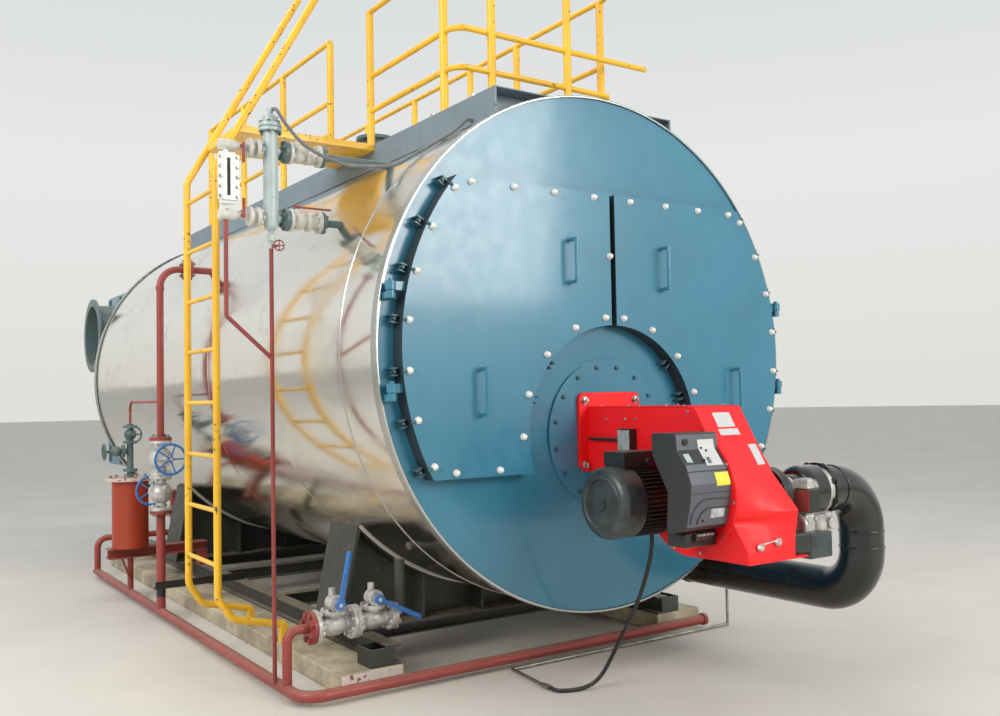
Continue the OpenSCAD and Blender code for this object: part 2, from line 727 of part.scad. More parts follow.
// small lines
module pilot_line() placed() {
  color("silver") {
    cz(12, 900, shell_r + 5, 430, 9);
    trimmed(300, 600) cx(shell_r - 295, shell_r + 5, 430, 900, 9);
    cx(-330, shell_r + 5, 430, 12, 9);
    bar([-330, 430, 12], [-375, 84, 12], 9);
    for (p = [[shell_r + 5, 430, 12], [shell_r + 5, 430, 900], [-330, 430, 12]]) translate(p) sphere(r = 10);
  }
  color("goldenrod") cy(40, 90, -375, 14, 14);
}
hose_pts = [[-375, 39.8, 14], [-375, 20, 14], [-374, 0, 13], [-360, -30, 12], [-310, -55, 12], [-250, -70, 14],
  [-190, -80, 30], [-150, -100, 70], [-130, -130, 130], [-125, -180, 210], [-135, -250, 300],
  [-150, -330, 400], [-165, -410, 510], [-175, -470, 620], [-180, -505, 700], [-180, -520, 770], [-180, -520, 818.8]];
module burner_hose() placed() {
  color("black") sweep(hose_pts, 10, 8, [1, 0, 0]);
}
cable_pts = [[-1520, 759.7, 2958], [-1520, 744, 2958], [-1516, 730, 2952], [-1508, 721, 2936], [-1480, 714, 2890],
  [-1440, 707, 2840], [-1400, 703, 2800], [-1350, 703, 2768], [-1290, 704, 2742],
  [-1220, 703, 2722], [-1150, 690, 2704], [-1060, 620, 2692], [-950, 524, 2692],
  [-860, 486, 2748], [-780, 452, 2801], [-710, 380, 2852], [-672, 325, 2890],
  [-650, 303, 2915], [-630, 300, 2920], [-610.2, 300, 2920]];
module probe_cable() placed() {
  color("gray") sweep(cable_pts, 9, 8, [0, 1, -1]);
}

shell();
front_smokebox();
front_plate();
rear_plate();
end_rims();
tube_plate();
burner_throat();
burner_ring();
left_door();
right_door();
left_door_bolts();
right_door_bolts();
door_clamps();
hinge_brackets();
burner_housing();
burner_motor();
control_cover();
burner_switches();
gas_valve();
recirculation_pipe();
plinths();
base_beams();
saddles();
rear_smokebox();
flue_outlet();
feed_pipe();
feed_valves();
feed_wheel_upper();
feed_wheel_lower();
feed_vessel();
vessel_frame();
vessel_piping();
floor_pipes();
blowdown_valves();
blowdown_lever_a();
blowdown_lever_b();
level_column();
level_valves();
level_gauge();
gauge_lever();
ladder();
platform_deck();
platform_beams();
left_railing();
front_railing();
right_railing();
steam_valve();
safety_valves();
pilot_line();
burner_hose();
probe_cable();
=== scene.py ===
"""Dresses the industrial boiler: sheet metal, doors, burner, pipework, finishes, stage and camera.

Places are in metres from the middle of the front plate at floor level (the plate faces -Y and the
shell runs along +Y); add_piece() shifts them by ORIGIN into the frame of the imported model.
"""

import logging
import math
from dataclasses import dataclass
from enum import Enum
from itertools import product

import bmesh
import bpy
import numpy as np
from bpy.types import ID, Material, Node, NodeSocket, NodeTree, Object
from mathutils import Matrix


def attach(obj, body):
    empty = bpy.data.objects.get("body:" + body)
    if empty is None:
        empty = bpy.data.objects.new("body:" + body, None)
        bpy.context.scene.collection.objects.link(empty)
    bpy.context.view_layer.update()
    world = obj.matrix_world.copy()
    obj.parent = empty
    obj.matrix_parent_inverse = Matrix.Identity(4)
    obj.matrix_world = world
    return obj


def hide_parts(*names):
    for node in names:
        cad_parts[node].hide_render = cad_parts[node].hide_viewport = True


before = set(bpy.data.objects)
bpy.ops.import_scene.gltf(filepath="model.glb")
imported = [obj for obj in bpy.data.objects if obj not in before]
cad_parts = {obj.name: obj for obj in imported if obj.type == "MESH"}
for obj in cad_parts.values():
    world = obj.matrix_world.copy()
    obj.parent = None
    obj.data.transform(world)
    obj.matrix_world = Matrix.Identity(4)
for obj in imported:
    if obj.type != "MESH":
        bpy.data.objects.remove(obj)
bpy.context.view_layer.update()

Array = np.ndarray
Pair = tuple[float, float]
Point = tuple[float, float, float]
Colour = tuple[int, int, int]
log = logging.getLogger("boiler")
ORIGIN = np.array([0.230, -2.821, 0.0])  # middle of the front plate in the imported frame
SHELL_R = 1.335  # outside of the cladding
AXIS_Z = 1.703  # height of the shell's axis
SHELL_AXIS = (0, 0, AXIS_Z)
SHELL_END = 5.752
SIDE_X = -1.495  # feed line and vessel beside the shell
FOOT = (0, 0, 0)
FRONT = (0.0, -1.0, 0.0)  # the way that the front plate faces
POLE = 1e-6  # an end with a smaller radius is a point
STRAIGHT = 1e-3  # a smaller turn, in radians, isn't rounded
STEEP, UPRIGHT = 0.8, 0.9  # a direction with a larger z needs another helper axis


# shapes
@dataclass
class Patch:
    """A surface: points (n, 3) and faces as index arrays, one array for each face size."""

    points: Array
    faces: list[Array]

    def mirrored(self) -> "Patch":
        """Returns the patch reflected in x = 0, with its faces turned to stay outward."""
        return Patch(self.points * (-1.0, 1.0, 1.0), [f[:, ::-1] for f in self.faces])

    def turned(self, angle: float, axis: str, about: Point) -> "Patch":
        """Turns the patch to R (p - about) + about.

        Args:
            angle: angle in degrees.
            axis: "X", "Y" or "Z".
            about: a point on the axis.

        Returns:
            The turned patch.
        """
        turn = np.array(Matrix.Rotation(math.radians(angle), 3, axis))
        return Patch((self.points - about) @ turn.T + about, self.faces)

    def capped(self, count: int, first: bool = True, last: bool = True) -> "Patch":
        """Closes the first and the last ring of a grid of rings with one face each.

        Args:
            count: number of points in a ring.
            first: whether the first ring is closed.
            last: whether the last ring is closed.

        Returns:
            The closed patch.
        """
        ring = np.arange(count)[None, :]
        ends = [ring] * bool(first) + [ring[:, ::-1] + len(self.points) - count] * bool(last)
        return Patch(self.points, self.faces + ends)


def join(patches: list[Patch]) -> Patch:
    """Joins patches into one, with the face indices raised by the points that come before.

    Args:
        patches: the patches.

    Returns:
        The one patch.
    """
    points: list[Array] = []
    faces: list[Array] = []
    count = 0
    for patch in patches:
        points.append(patch.points)
        faces += [f + count for f in patch.faces]
        count += len(patch.points)
    return Patch(np.concatenate(points), faces)


def grid(points: Array, wrap_u: bool = False, wrap_v: bool = False) -> Patch:
    """Makes quads over a grid of points.

    Args:
        points: array (m, n, 3); u runs along the first index and v along the second.
        wrap_u: whether the last row joins the first.
        wrap_v: whether the last column joins the first.

    Returns:
        The patch; quad (i, j) joins (i, j), (i+1, j), (i+1, j+1), (i, j+1).
    """
    m, n = points.shape[:2]
    i = np.arange(m if wrap_u else m - 1)[:, None]
    j = np.arange(n if wrap_v else n - 1)[None, :]
    a, b = (i + 1) % m, (j + 1) % n
    quads = np.stack([i * n + j, a * n + j, a * n + b, i * n + b], -1).reshape(-1, 4)
    return Patch(points.reshape(-1, 3), [quads])


def around(count: int) -> Array:
    """Angles of count equal steps of a whole turn, in radians."""
    return np.linspace(0, 2 * np.pi, count, endpoint=False)


AXES = {"x": ((0, 1, 0), (0, 0, 1), (1, 0, 0)), "y": ((0, 0, 1), (1, 0, 0), (0, 1, 0)),
        "z": ((1, 0, 0), (0, 1, 0), (0, 0, 1))}


def lathe(profile: list[Pair], centre: Point | Array, axis: str, sides: int = 32,
          loop: bool = False) -> Patch:
    """Turns a profile about an axis: p = centre + a t + r (cos w e1 + sin w e2).

    Args:
        profile: pairs (t along the axis, radius r).
        centre: the point where t = 0.
        axis: "x", "y" or "z".
        sides: number of flats around.
        loop: whether the profile closes on itself, as in a ring.

    Returns:
        A closed skin: open ends are capped with one face each.
    """
    e1, e2, e3 = (np.array(v, float) for v in AXES[axis])
    t, r = np.array(profile, float).T
    w = around(sides)
    ring = np.cos(w)[:, None] * e1 + np.sin(w)[:, None] * e2
    points = np.asarray(centre, float) + t[:, None, None] * e3 + r[:, None, None] * ring[None]
    patch = grid(points, loop, True)
    return patch if loop else patch.capped(sides, r[0] > POLE, r[-1] > POLE)


def arc(centre: Pair, radii: Pair, start: float, end: float, steps: int) -> list[Pair]:
    """Points of an ellipse's arc, (c1 + a cos w, c2 + b sin w), with w in degrees."""
    w = np.radians(np.linspace(start, end, steps))
    return list(zip(centre[0] + radii[0] * np.cos(w), centre[1] + radii[1] * np.sin(w)))


def rod(a: float, b: float, radius: float, centre: Point, axis: str, sides: int = 24,
        edge: float = 0.002) -> Patch:
    """A turned bar with its two rims broken.

    Args:
        a: one end along the axis.
        b: the other end.
        radius: its radius.
        centre: a point on the axis.
        axis: "x", "y" or "z".
        sides: number of flats around.
        edge: width of the broken rims.

    Returns:
        The closed bar.
    """
    a, b = sorted((a, b))
    return lathe([(a, radius - edge), (a + edge * 0.4, radius - edge * 0.3), (a + edge, radius),
                  (b - edge, radius), (b - edge * 0.4, radius - edge * 0.3), (b, radius - edge)],
                 centre, axis, sides)


def smooth_path(points: list[Point], radius: float, steps: int = 7) -> Array:
    """Rounds the corners of a line of points.

    Each corner is replaced by the arc that touches both its legs, at radius * tan(turn / 2) from it.

    Args:
        points: the corners and both ends.
        radius: bend radius of the centre line.
        steps: number of steps in a bend.

    Returns:
        The points along the rounded line (k, 3).
    """
    p = np.array(points, float)
    line = [p[0]]
    for before, corner, after in zip(p[:-2], p[1:-1], p[2:]):
        a = (corner - before) / np.linalg.norm(corner - before)
        b = (after - corner) / np.linalg.norm(after - corner)
        turn = math.acos(float(np.clip(a @ b, -1, 1)))
        if turn < STRAIGHT:
            line.append(corner)
            continue
        inward = (b - a) / np.linalg.norm(b - a)
        centre = corner + inward * radius / math.cos(turn / 2)
        side = (corner - a * radius * math.tan(turn / 2)) - centre
        w = np.linspace(0, turn, steps)[:, None]
        line += list(centre + side * np.cos(w) + a * radius * np.sin(w))
    line.append(p[-1])
    return np.array(line)


def tube(path: Array, radius: float, sides: int = 14) -> Patch:
    """Sweeps a circle along a path.

    The cross axes are carried from point to point by taking out their part along the next tangent,
    so that the tube doesn't twist.

    Args:
        path: points (k, 3).
        radius: radius of the tube.
        sides: number of flats.

    Returns:
        The closed tube.
    """
    path = np.asarray(path, float)
    tangents = np.gradient(path, axis=0)
    tangents /= np.linalg.norm(tangents, axis=1)[:, None]
    seed = np.array([0.0, 0.0, 1.0] if abs(tangents[0][2]) < STEEP else [1.0, 0.0, 0.0])
    across = np.empty_like(path)
    for index, tangent in enumerate(tangents):
        seed = seed - tangent * (seed @ tangent)
        seed /= np.linalg.norm(seed)
        across[index] = seed
    second = np.cross(tangents, across)
    w = around(sides)[None, :, None]
    points = path[:, None] + radius * (np.cos(w) * across[:, None] + np.sin(w) * second[:, None])
    return grid(points, False, True).capped(sides)


def block(low: Point, high: Point, edge: float = 0.003, steps: int = 2) -> Patch:
    """A box with round edges: p = middle + s (half - edge) + edge d.

    d runs over the directions of a sphere, eighth by eighth, and s is the eighth's signs.

    Args:
        low: lowest corner.
        high: highest corner.
        edge: radius of the edges.
        steps: steps across an edge.

    Returns:
        The closed box.
    """
    low, high = np.minimum(low, high), np.maximum(low, high)
    half, middle = (high - low) / 2, (high + low) / 2
    edge = min(edge, float(half.min()) * 0.999)
    quarter = np.linspace(0, np.pi / 2, steps + 1)
    w = (np.arange(4)[:, None] * np.pi / 2 + quarter[None]).ravel()
    tilt = np.concatenate([quarter - np.pi / 2, quarter])[:, None]
    signs = [np.repeat(row, steps + 1) for row in ([1, -1, -1, 1], [1, 1, -1, -1], [-1, 1])]
    d = np.stack([np.cos(tilt) * np.cos(w), np.cos(tilt) * np.sin(w), np.sin(tilt) * np.ones_like(w)], -1)
    s = np.stack(np.broadcast_arrays(signs[0], signs[1], signs[2][:, None]), -1)
    return grid(middle + s * (half - edge) + edge * d, False, True).capped(len(w))


def prism(outline: list[Pair] | Array, a: float, b: float, axis: str) -> Patch:
    """Carries a flat outline along an axis.

    Args:
        outline: corners in the plane (y, z) for axis x, (x, z) for y and (x, y) for z.
        a: start along the axis.
        b: end along the axis.
        axis: "x", "y" or "z".

    Returns:
        The closed prism.
    """
    flat = np.array(outline, float)
    across = {"x": (1, 2, 0), "y": (0, 2, 1), "z": (0, 1, 2)}[axis]
    points = np.zeros((2, len(flat), 3))
    points[..., across[0]], points[..., across[1]] = flat[:, 0], flat[:, 1]
    points[0, :, across[2]], points[1, :, across[2]] = a, b
    return grid(points, False, True).capped(len(flat))


def copies(patch: Patch, places: Array | list[Point], facing: Array | Point) -> Patch:
    """Puts a patch made along +Z at many places: p = place + x e1 + y e2 + z e3.

    Args:
        patch: the patch, with its foot at the origin.
        places: points (n, 3).
        facing: the direction of +Z, one for all places or (n, 3).

    Returns:
        One patch of all copies.
    """
    places = np.asarray(places, float)
    e3 = np.broadcast_to(np.asarray(facing, float), places.shape)
    e3 = e3 / np.linalg.norm(e3, axis=1)[:, None]
    helper = np.where(np.abs(e3[:, 2:3]) > UPRIGHT, [[1.0, 0.0, 0.0]], [[0.0, 0.0, 1.0]])
    e1 = np.cross(helper, e3)
    e1 /= np.linalg.norm(e1, axis=1)[:, None]
    axes = np.stack([e1, np.cross(e3, e1), e3], 1)
    points = places[:, None] + np.einsum("vk,nkc->nvc", patch.points, axes)
    shift = (np.arange(len(points)) * len(patch.points))[:, None, None]
    faces = [(f[None] + shift).reshape(-1, f.shape[1]) for f in patch.faces]
    return Patch(points.reshape(-1, 3), faces)


def hex_bolt(size: float, washer: float = 1.7, stud: float = 0.0) -> Patch:
    """A washer, a hexagon head and a stud end, along +Z.

    Args:
        size: radius of the thread.
        washer: radius of the washer over that of the thread's head.
        stud: how far the thread stands out of the nut.

    Returns:
        The patch, with its foot at the origin.
    """
    h = size * 0.35
    top = h + size * 1.5
    parts = [lathe([(0, size * washer * 1.25), (h, size * washer * 1.25)], FOOT, "z", 16),
             lathe([(h, size * 1.75), (top - size * 0.15, size * 1.75), (top, size * 1.5)], FOOT, "z", 6)]
    if stud:
        thread = [(top, size), (top + stud * 0.8, size), (top + stud, size * 0.8)]
        parts.append(lathe(thread, FOOT, "z", 12))
    return join(parts)


def dome_nut(size: float) -> Patch:
    """A washer, a low nut and a round cap, along +Z.

    Args:
        size: radius of the cap.

    Returns:
        The patch, with its foot at the origin.
    """
    return join([lathe([(0, size * 1.15), (size * 0.22, size * 1.15)], FOOT, "z", 16),
                 lathe([(size * 0.22, size * 1.08), (size * 0.75, size * 1.08)], FOOT, "z", 6),
                 lathe(arc((size * 0.75, 0), (size * 0.95, size), 90, 0, 5), FOOT, "z", 12)])


def bolt_circle(centre: Point, radius: float, count: int, axis: str, size: float, side: float = 1.0,
                start: float = 0.0, stud: float = 0.0) -> Patch:
    """Hexagon bolts in a circle, at c + r (cos w e1 + sin w e2).

    Args:
        centre: centre of the circle on the face.
        radius: radius of the bolt circle.
        count: number of bolts.
        axis: axis that the bolts lie along.
        size: radius of the thread.
        side: +1 or -1, the way the heads face along the axis.
        start: angle of the first bolt in degrees.
        stud: how far the threads stand out.

    Returns:
        The bolts as one patch.
    """
    e1, e2, e3 = (np.array(v, float) for v in AXES[axis])
    w = (around(count) + math.radians(start))[:, None]
    places = np.asarray(centre, float) + radius * (np.cos(w) * e1 + np.sin(w) * e2)
    return copies(hex_bolt(size, stud=stud), places, e3 * side)


def flange(a: float, b: float, radius: float, centre: Point, axis: str, bolts: int = 8,
           size: float = 0.008, bore: float = 0.0, heads: float = 1.0) -> Patch:
    """A round flange from a to b along an axis, with bolts on one side.

    Args:
        a: start along the axis.
        b: end along the axis.
        radius: outer radius.
        centre: a point on the axis.
        axis: "x", "y" or "z".
        bolts: number of bolts.
        size: radius of their threads.
        bore: radius of the neck, which the bolt circle stays clear of.
        heads: +1 or -1, the side with the heads.

    Returns:
        The flange with its bolts.
    """
    a, b = sorted((a, b))
    face = np.asarray(centre, float) + np.array(AXES[axis][2]) * (b if heads > 0 else a)
    ring = (radius + max(bore, radius * 0.55)) / 2
    return join([rod(a, b, radius, centre, axis, 40, 0.0025),
                 bolt_circle(tuple(face), ring, bolts, axis, size, heads, 180 / bolts)])


def bars(centre: Point, axis: str, *rows: tuple[float, ...]) -> Patch:
    """Turned bars on one axis; each row holds rod()'s a, b, radius, sides and edge."""
    return join([rod(*row[:3], centre, axis, *row[3:]) for row in rows])


def blocks(*rows: tuple) -> Patch:
    """Boxes with round edges; each row holds block()'s low, high, edge and steps."""
    return join([block(*row) for row in rows])


def flanges(centre: Point, axis: str, *rows: tuple[float, ...]) -> Patch:
    """Flanges on one axis; each row holds flange()'s a, b, radius, bolts, size, bore and heads."""
    return join([flange(*row[:3], centre, axis, *row[3:]) for row in rows])


# finishes
def linear(colour: Colour) -> tuple[float, float, float, float]:
    """Turns an sRGB colour into linear light by the sRGB curve.

    Args:
        colour: red, green and blue, 0 to 255.

    Returns:
        Linear red, green and blue, and alpha 1.
    """
    c = np.array(colour) / 255
    c = np.where(c <= 0.04045, c / 12.92, ((c + 0.055) / 1.055) ** 2.4)
    return (*c.tolist(), 1.0)


def shade(base: tuple[float, ...], factor: float, lift: float = 0.0) -> tuple[float, ...]:
    """A linear colour times factor plus lift, held at 1, with alpha 1."""
    return tuple(min(c * factor + lift, 1.0) for c in base[:3]) + (1.0,)


class Tree:
    """Adds and links the nodes of one node tree."""

    def __init__(self, tree: NodeTree) -> None:
        """Takes a node tree and empties it."""
        self.tree = tree
        tree.nodes.clear()

    def node(self, kind: str, settings: dict | None = None, **inputs: object) -> Node:
        """Adds a node, sets its properties and its inputs.

        Args:
            kind: Blender's name of the node type after ShaderNode.
            settings: properties to set.
            **inputs: values or sockets by input name, with _ for a space, or by i and a number.

        Returns:
            The node.
        """
        node = self.tree.nodes.new("ShaderNode" + kind)
        for key, value in (settings or {}).items():
            setattr(node, key, value)
        for key, value in inputs.items():
            name = int(key[1:]) if key[0] == "i" and key[1:].isdigit() else key.replace("_", " ")
            self.put(node.inputs[name], value)
        return node

    def put(self, socket: NodeSocket, value: object) -> None:
        """Sets an input.

        Args:
            socket: the input.
            value: a socket to link, or a plain value.
        """
        if isinstance(value, NodeSocket):
            self.tree.links.new(value, socket)
        else:
            socket.default_value = value

    def math(self, operation: str, a: object, b: object = 0.0) -> NodeSocket:
        """One arithmetic step on two values."""
        return self.node("Math", {"operation": operation}, i0=a, i1=b).outputs[0]

    def times(self, a: object, b: object) -> NodeSocket:
        """The product of two values."""
        return self.math("MULTIPLY", a, b)


class Graph(Tree):
    """Builds one node material around a Principled shader, over object coordinates."""

    def __init__(self, name: str) -> None:
        """Starts a material.

        Args:
            name: name of the material.
        """
        self.material = bpy.data.materials.new(name)
        self.material.use_nodes = True
        super().__init__(self.material.node_tree)
        self.shader = self.node("BsdfPrincipled")
        self.node("OutputMaterial", i0=self.shader.outputs[0])
        self.place = self.node("TexCoord").outputs["Object"]

    def noise(self, scale: float, detail: float = 4.0, rough: float = 0.55,
              stretch: Point = (1, 1, 1)) -> NodeSocket:
        """Noise over object coordinates.

        Args:
            scale: its scale.
            detail: number of finer layers.
            rough: weight of the finer layers.
            stretch: factors on x, y and z.

        Returns:
            The noise, 0 to 1.
        """
        place = self.place
        if stretch != (1, 1, 1):
            place = self.node("Mapping", Vector=place, Scale=stretch).outputs[0]
        return self.node("TexNoise", Vector=place, Scale=scale, Detail=detail,
                         Roughness=rough).outputs["Fac"]

    def remap(self, value: object, a: float, b: float, low: float = 0.0,
              high: float = 1.0) -> NodeSocket:
        """Carries a to b onto low to high with a soft start and end, held at both."""
        return self.node("MapRange", {"interpolation_type": "SMOOTHSTEP"}, i0=value, i1=a, i2=b, i3=low,
                         i4=high).outputs[0]

    def blend(self, factor: object, a: object, b: object) -> NodeSocket:
        """Mixes two colours."""
        return self.node("Mix", {"data_type": "RGBA"}, i0=factor, i6=a, i7=b).outputs[2]

    def upward(self) -> NodeSocket:
        """How far a surface faces up, from 0 at 63 degrees from the vertical to 1 at 11."""
        normal = self.node("NewGeometry").outputs["Normal"]
        return self.remap(self.node("SeparateXYZ", Vector=normal).outputs["Z"], 0.45, 0.98)

    def bump(self, height: object, distance: float, strength: float = 1.0,
             under: object = None) -> NodeSocket:
        """Adds relief on top of an earlier one.

        Args:
            height: the height field, 0 to 1.
            distance: its full height in metres.
            strength: share of it that shows.
            under: the earlier relief.

        Returns:
            The normal.
        """
        earlier = {} if under is None else {"Normal": under}
        return self.node("Bump", Height=height, Distance=distance, Strength=strength,
                         **earlier).outputs[0]

    def roughness(self, scale: float, value: float, down: float, up: float,
                  more: object) -> NodeSocket:
        """Roughness that drifts between two values.

        Args:
            scale: scale of the drift.
            value: the middle value.
            down: how far it falls.
            up: how far it rises.
            more: what is added to it.

        Returns:
            The roughness.
        """
        drift = self.remap(self.noise(scale, 4), 0.3, 0.7, value - down, value + up)
        return self.math("ADD", drift, more)

    def dress(self, **inputs: object) -> Material:
        """Sets inputs of the shader.

        Args:
            **inputs: values or sockets by input name, with _ for a space.

        Returns:
            The material.
        """
        for key, value in inputs.items():
            self.put(self.shader.inputs[key.replace("_", " ")], value)
        return self.material


DUST = linear((150, 138, 118))
SOIL = linear((62, 52, 42))


@dataclass(frozen=True)
class Finish:
    """The base of all finishes."""

    name: str

    def build(self) -> Material:
        """Builds the material."""
        raise NotImplementedError

    def material(self) -> Material:
        """Returns the material, built once for each name."""
        return bpy.data.materials.get(self.name) or self.build()


@dataclass(frozen=True)
class Paint(Finish):
    """Brushed or sprayed paint: shade drifts, orange peel, runs of soil, dust on top, chips."""

    colour: Colour
    rough: float = 0.38
    coat: float = 0.25
    dust: float = 0.35
    soil: float = 0.25
    drift: float = 0.10
    peel: float = 0.00025
    chips: float = 0.0
    under: Colour = (92, 84, 78)

    def build(self) -> Material:
        """Builds the paint from noise over object coordinates.

        Returns:
            The material.
        """
        g = Graph(self.name)
        base = linear(self.colour)
        colour = g.blend(g.remap(g.noise(2.3, 5), 0.3, 0.7), shade(base, 1 - self.drift),
                         shade(base, 1 + self.drift))
        runs = g.times(g.remap(g.noise(9, 6, 0.6, (1, 1, 0.18)), 0.52, 0.8),
                       g.remap(g.noise(1.7, 3), 0.4, 0.65))
        soiled = g.times(runs, self.soil)
        colour = g.blend(soiled, colour, SOIL)
        if self.chips:
            chip = g.remap(g.noise(46, 3, 0.5), 0.70 - self.chips * 0.06, 0.72 - self.chips * 0.06)
            patchy = g.times(chip, g.remap(g.noise(5, 3), 0.5, 0.56))
            colour = g.blend(patchy, colour, linear(self.under))
        dusty = g.times(g.upward(), g.remap(g.noise(14, 6, 0.6), 0.25, 0.7, 0.35, 1.0))
        dusty = g.times(dusty, self.dust)
        colour = g.blend(dusty, colour, DUST)
        rough = g.roughness(11, self.rough, 0.05, 0.07, g.times(g.math("ADD", dusty, soiled), 0.45))
        relief = g.bump(g.noise(160, 3, 0.6), self.peel)
        relief = g.bump(g.noise(7, 2), self.peel * 3, 0.6, relief)
        return g.dress(Base_Color=colour, Roughness=rough, Coat_Weight=self.coat,
                       Coat_Roughness=0.12, Normal=relief)


@dataclass(frozen=True)
class Sheet(Finish):
    """Bright rolled sheet: long soft waves, fine rolling lines, smears and a little tan soil."""

    colour: Colour = (236, 234, 226)
    rough: float = 0.085
    wave: float = 0.0055
    lines: float = 1.0

    def build(self) -> Material:
        """Builds the sheet: the waves run along Y, as the reflections on the real one do.

        Returns:
            The material.
        """
        g = Graph(self.name)
        base = linear(self.colour)
        smear = g.remap(g.noise(3.1, 6, 0.62, (1, 0.35, 1)), 0.42, 0.72)
        colour = g.blend(g.times(smear, 0.45), base, shade(base, 0.78))
        stain = g.times(g.remap(g.noise(6, 5, 0.6, (1, 0.6, 1)), 0.56, 0.75), 0.30)
        colour = g.blend(stain, colour, linear((168, 158, 138)))
        fine = g.noise(60, 3, 0.7, (1, 0.04, 1))
        rough = g.math("ADD", g.remap(smear, 0, 1, self.rough, self.rough + 0.14),
                       g.times(fine, 0.05 * self.lines))
        relief = g.bump(g.noise(1.5, 2, 0.4, (1, 0.30, 1)), self.wave)
        relief = g.bump(g.noise(5.5, 2, 0.5, (1, 0.22, 1)), self.wave * 0.22, 1.0, relief)
        relief = g.bump(fine, 0.00004 * self.lines, 1.0, relief)
        return g.dress(Base_Color=colour, Roughness=rough, Metallic=1.0, Normal=relief)


@dataclass(frozen=True)
class Cast(Finish):
    """Bare or silver-painted castings and machined metal: pitted skin, darker hollows, dust."""

    colour: Colour
    rough: float = 0.42
    metal: float = 0.7
    grain: float = 0.0006
    soil: float = 0.45

    def build(self) -> Material:
        """Builds the casting's skin.

        Returns:
            The material.
        """
        g = Graph(self.name)
        base = linear(self.colour)
        colour = g.blend(g.remap(g.noise(13, 6, 0.6), 0.35, 0.7), base, shade(base, 0.62))
        patch = g.times(g.remap(g.noise(26, 5, 0.6), 0.5, 0.75), self.soil)
        colour = g.blend(patch, colour, SOIL)
        dusty = g.times(g.upward(), 0.22)
        colour = g.blend(dusty, colour, DUST)
        rough = g.roughness(30, self.rough, 0.08, 0.10, g.times(dusty, 0.6))
        return g.dress(Base_Color=colour, Roughness=rough, Metallic=self.metal,
                       Normal=g.bump(g.noise(240, 4, 0.65), self.grain))


@dataclass(frozen=True)
class Concrete(Finish):
    """Cast concrete: blotches, pores and fine sand."""

    colour: Colour = (186, 174, 148)

    def build(self) -> Material:
        """Builds the concrete.

        Returns:
            The material.
        """
        g = Graph(self.name)
        base = linear(self.colour)
        dark = shade(base, 0.66)
        colour = g.blend(g.remap(g.noise(4.2, 7, 0.65), 0.35, 0.68), dark, shade(base, 1.32))
        colour = g.blend(g.times(g.remap(g.noise(90, 4), 0.5, 0.7), 0.35), colour, dark)
        pores = g.node("TexVoronoi", Vector=g.place, Scale=55).outputs["Distance"]
        relief = g.bump(g.remap(pores, 0.05, 0.16), 0.0016, 0.8)
        relief = g.bump(g.noise(150, 5, 0.7), 0.0011, 1.0, relief)
        return g.dress(Base_Color=colour, Roughness=0.86, Normal=relief)


@dataclass(frozen=True)
class Rubber(Finish):
    """Matt rubber or wrapped pipe: fine grain, scuffs and settled dust."""

    colour: Colour
    rough: float = 0.55
    dust: float = 0.3
    grain: float = 0.0004

    def build(self) -> Material:
        """Builds the rubber.

        Returns:
            The material.
        """
        g = Graph(self.name)
        base = linear(self.colour)
        scuffs = g.times(g.remap(g.noise(18, 6, 0.6), 0.45, 0.75), 0.55)
        colour = g.blend(scuffs, base, shade(base, 1.7, 0.012))
        dusty = g.times(g.times(g.upward(), g.remap(g.noise(22, 5), 0.3, 0.7)), self.dust)
        colour = g.blend(dusty, colour, DUST)
        rough = g.roughness(24, self.rough, 0.07, 0.07, g.times(dusty, 0.4))
        return g.dress(Base_Color=colour, Roughness=rough,
                       Normal=g.bump(g.noise(210, 4, 0.6), self.grain))


@dataclass(frozen=True)
class Glass(Finish):
    """A clear pane over a dark ground, as on a sight glass or a window."""

    colour: Colour = (196, 206, 208)

    def build(self) -> Material:
        """Builds the pane, with faint drops and smears.

        Returns:
            The material.
        """
        g = Graph(self.name)
        base = linear(self.colour)
        colour = g.blend(g.remap(g.noise(30, 4), 0.3, 0.7), shade(base, 0.5), base)
        return g.dress(Base_Color=colour, Roughness=g.remap(g.noise(40, 3), 0.3, 0.7, 0.05, 0.16),
                       Coat_Weight=1.0, Normal=g.bump(g.noise(60, 2), 0.0001))


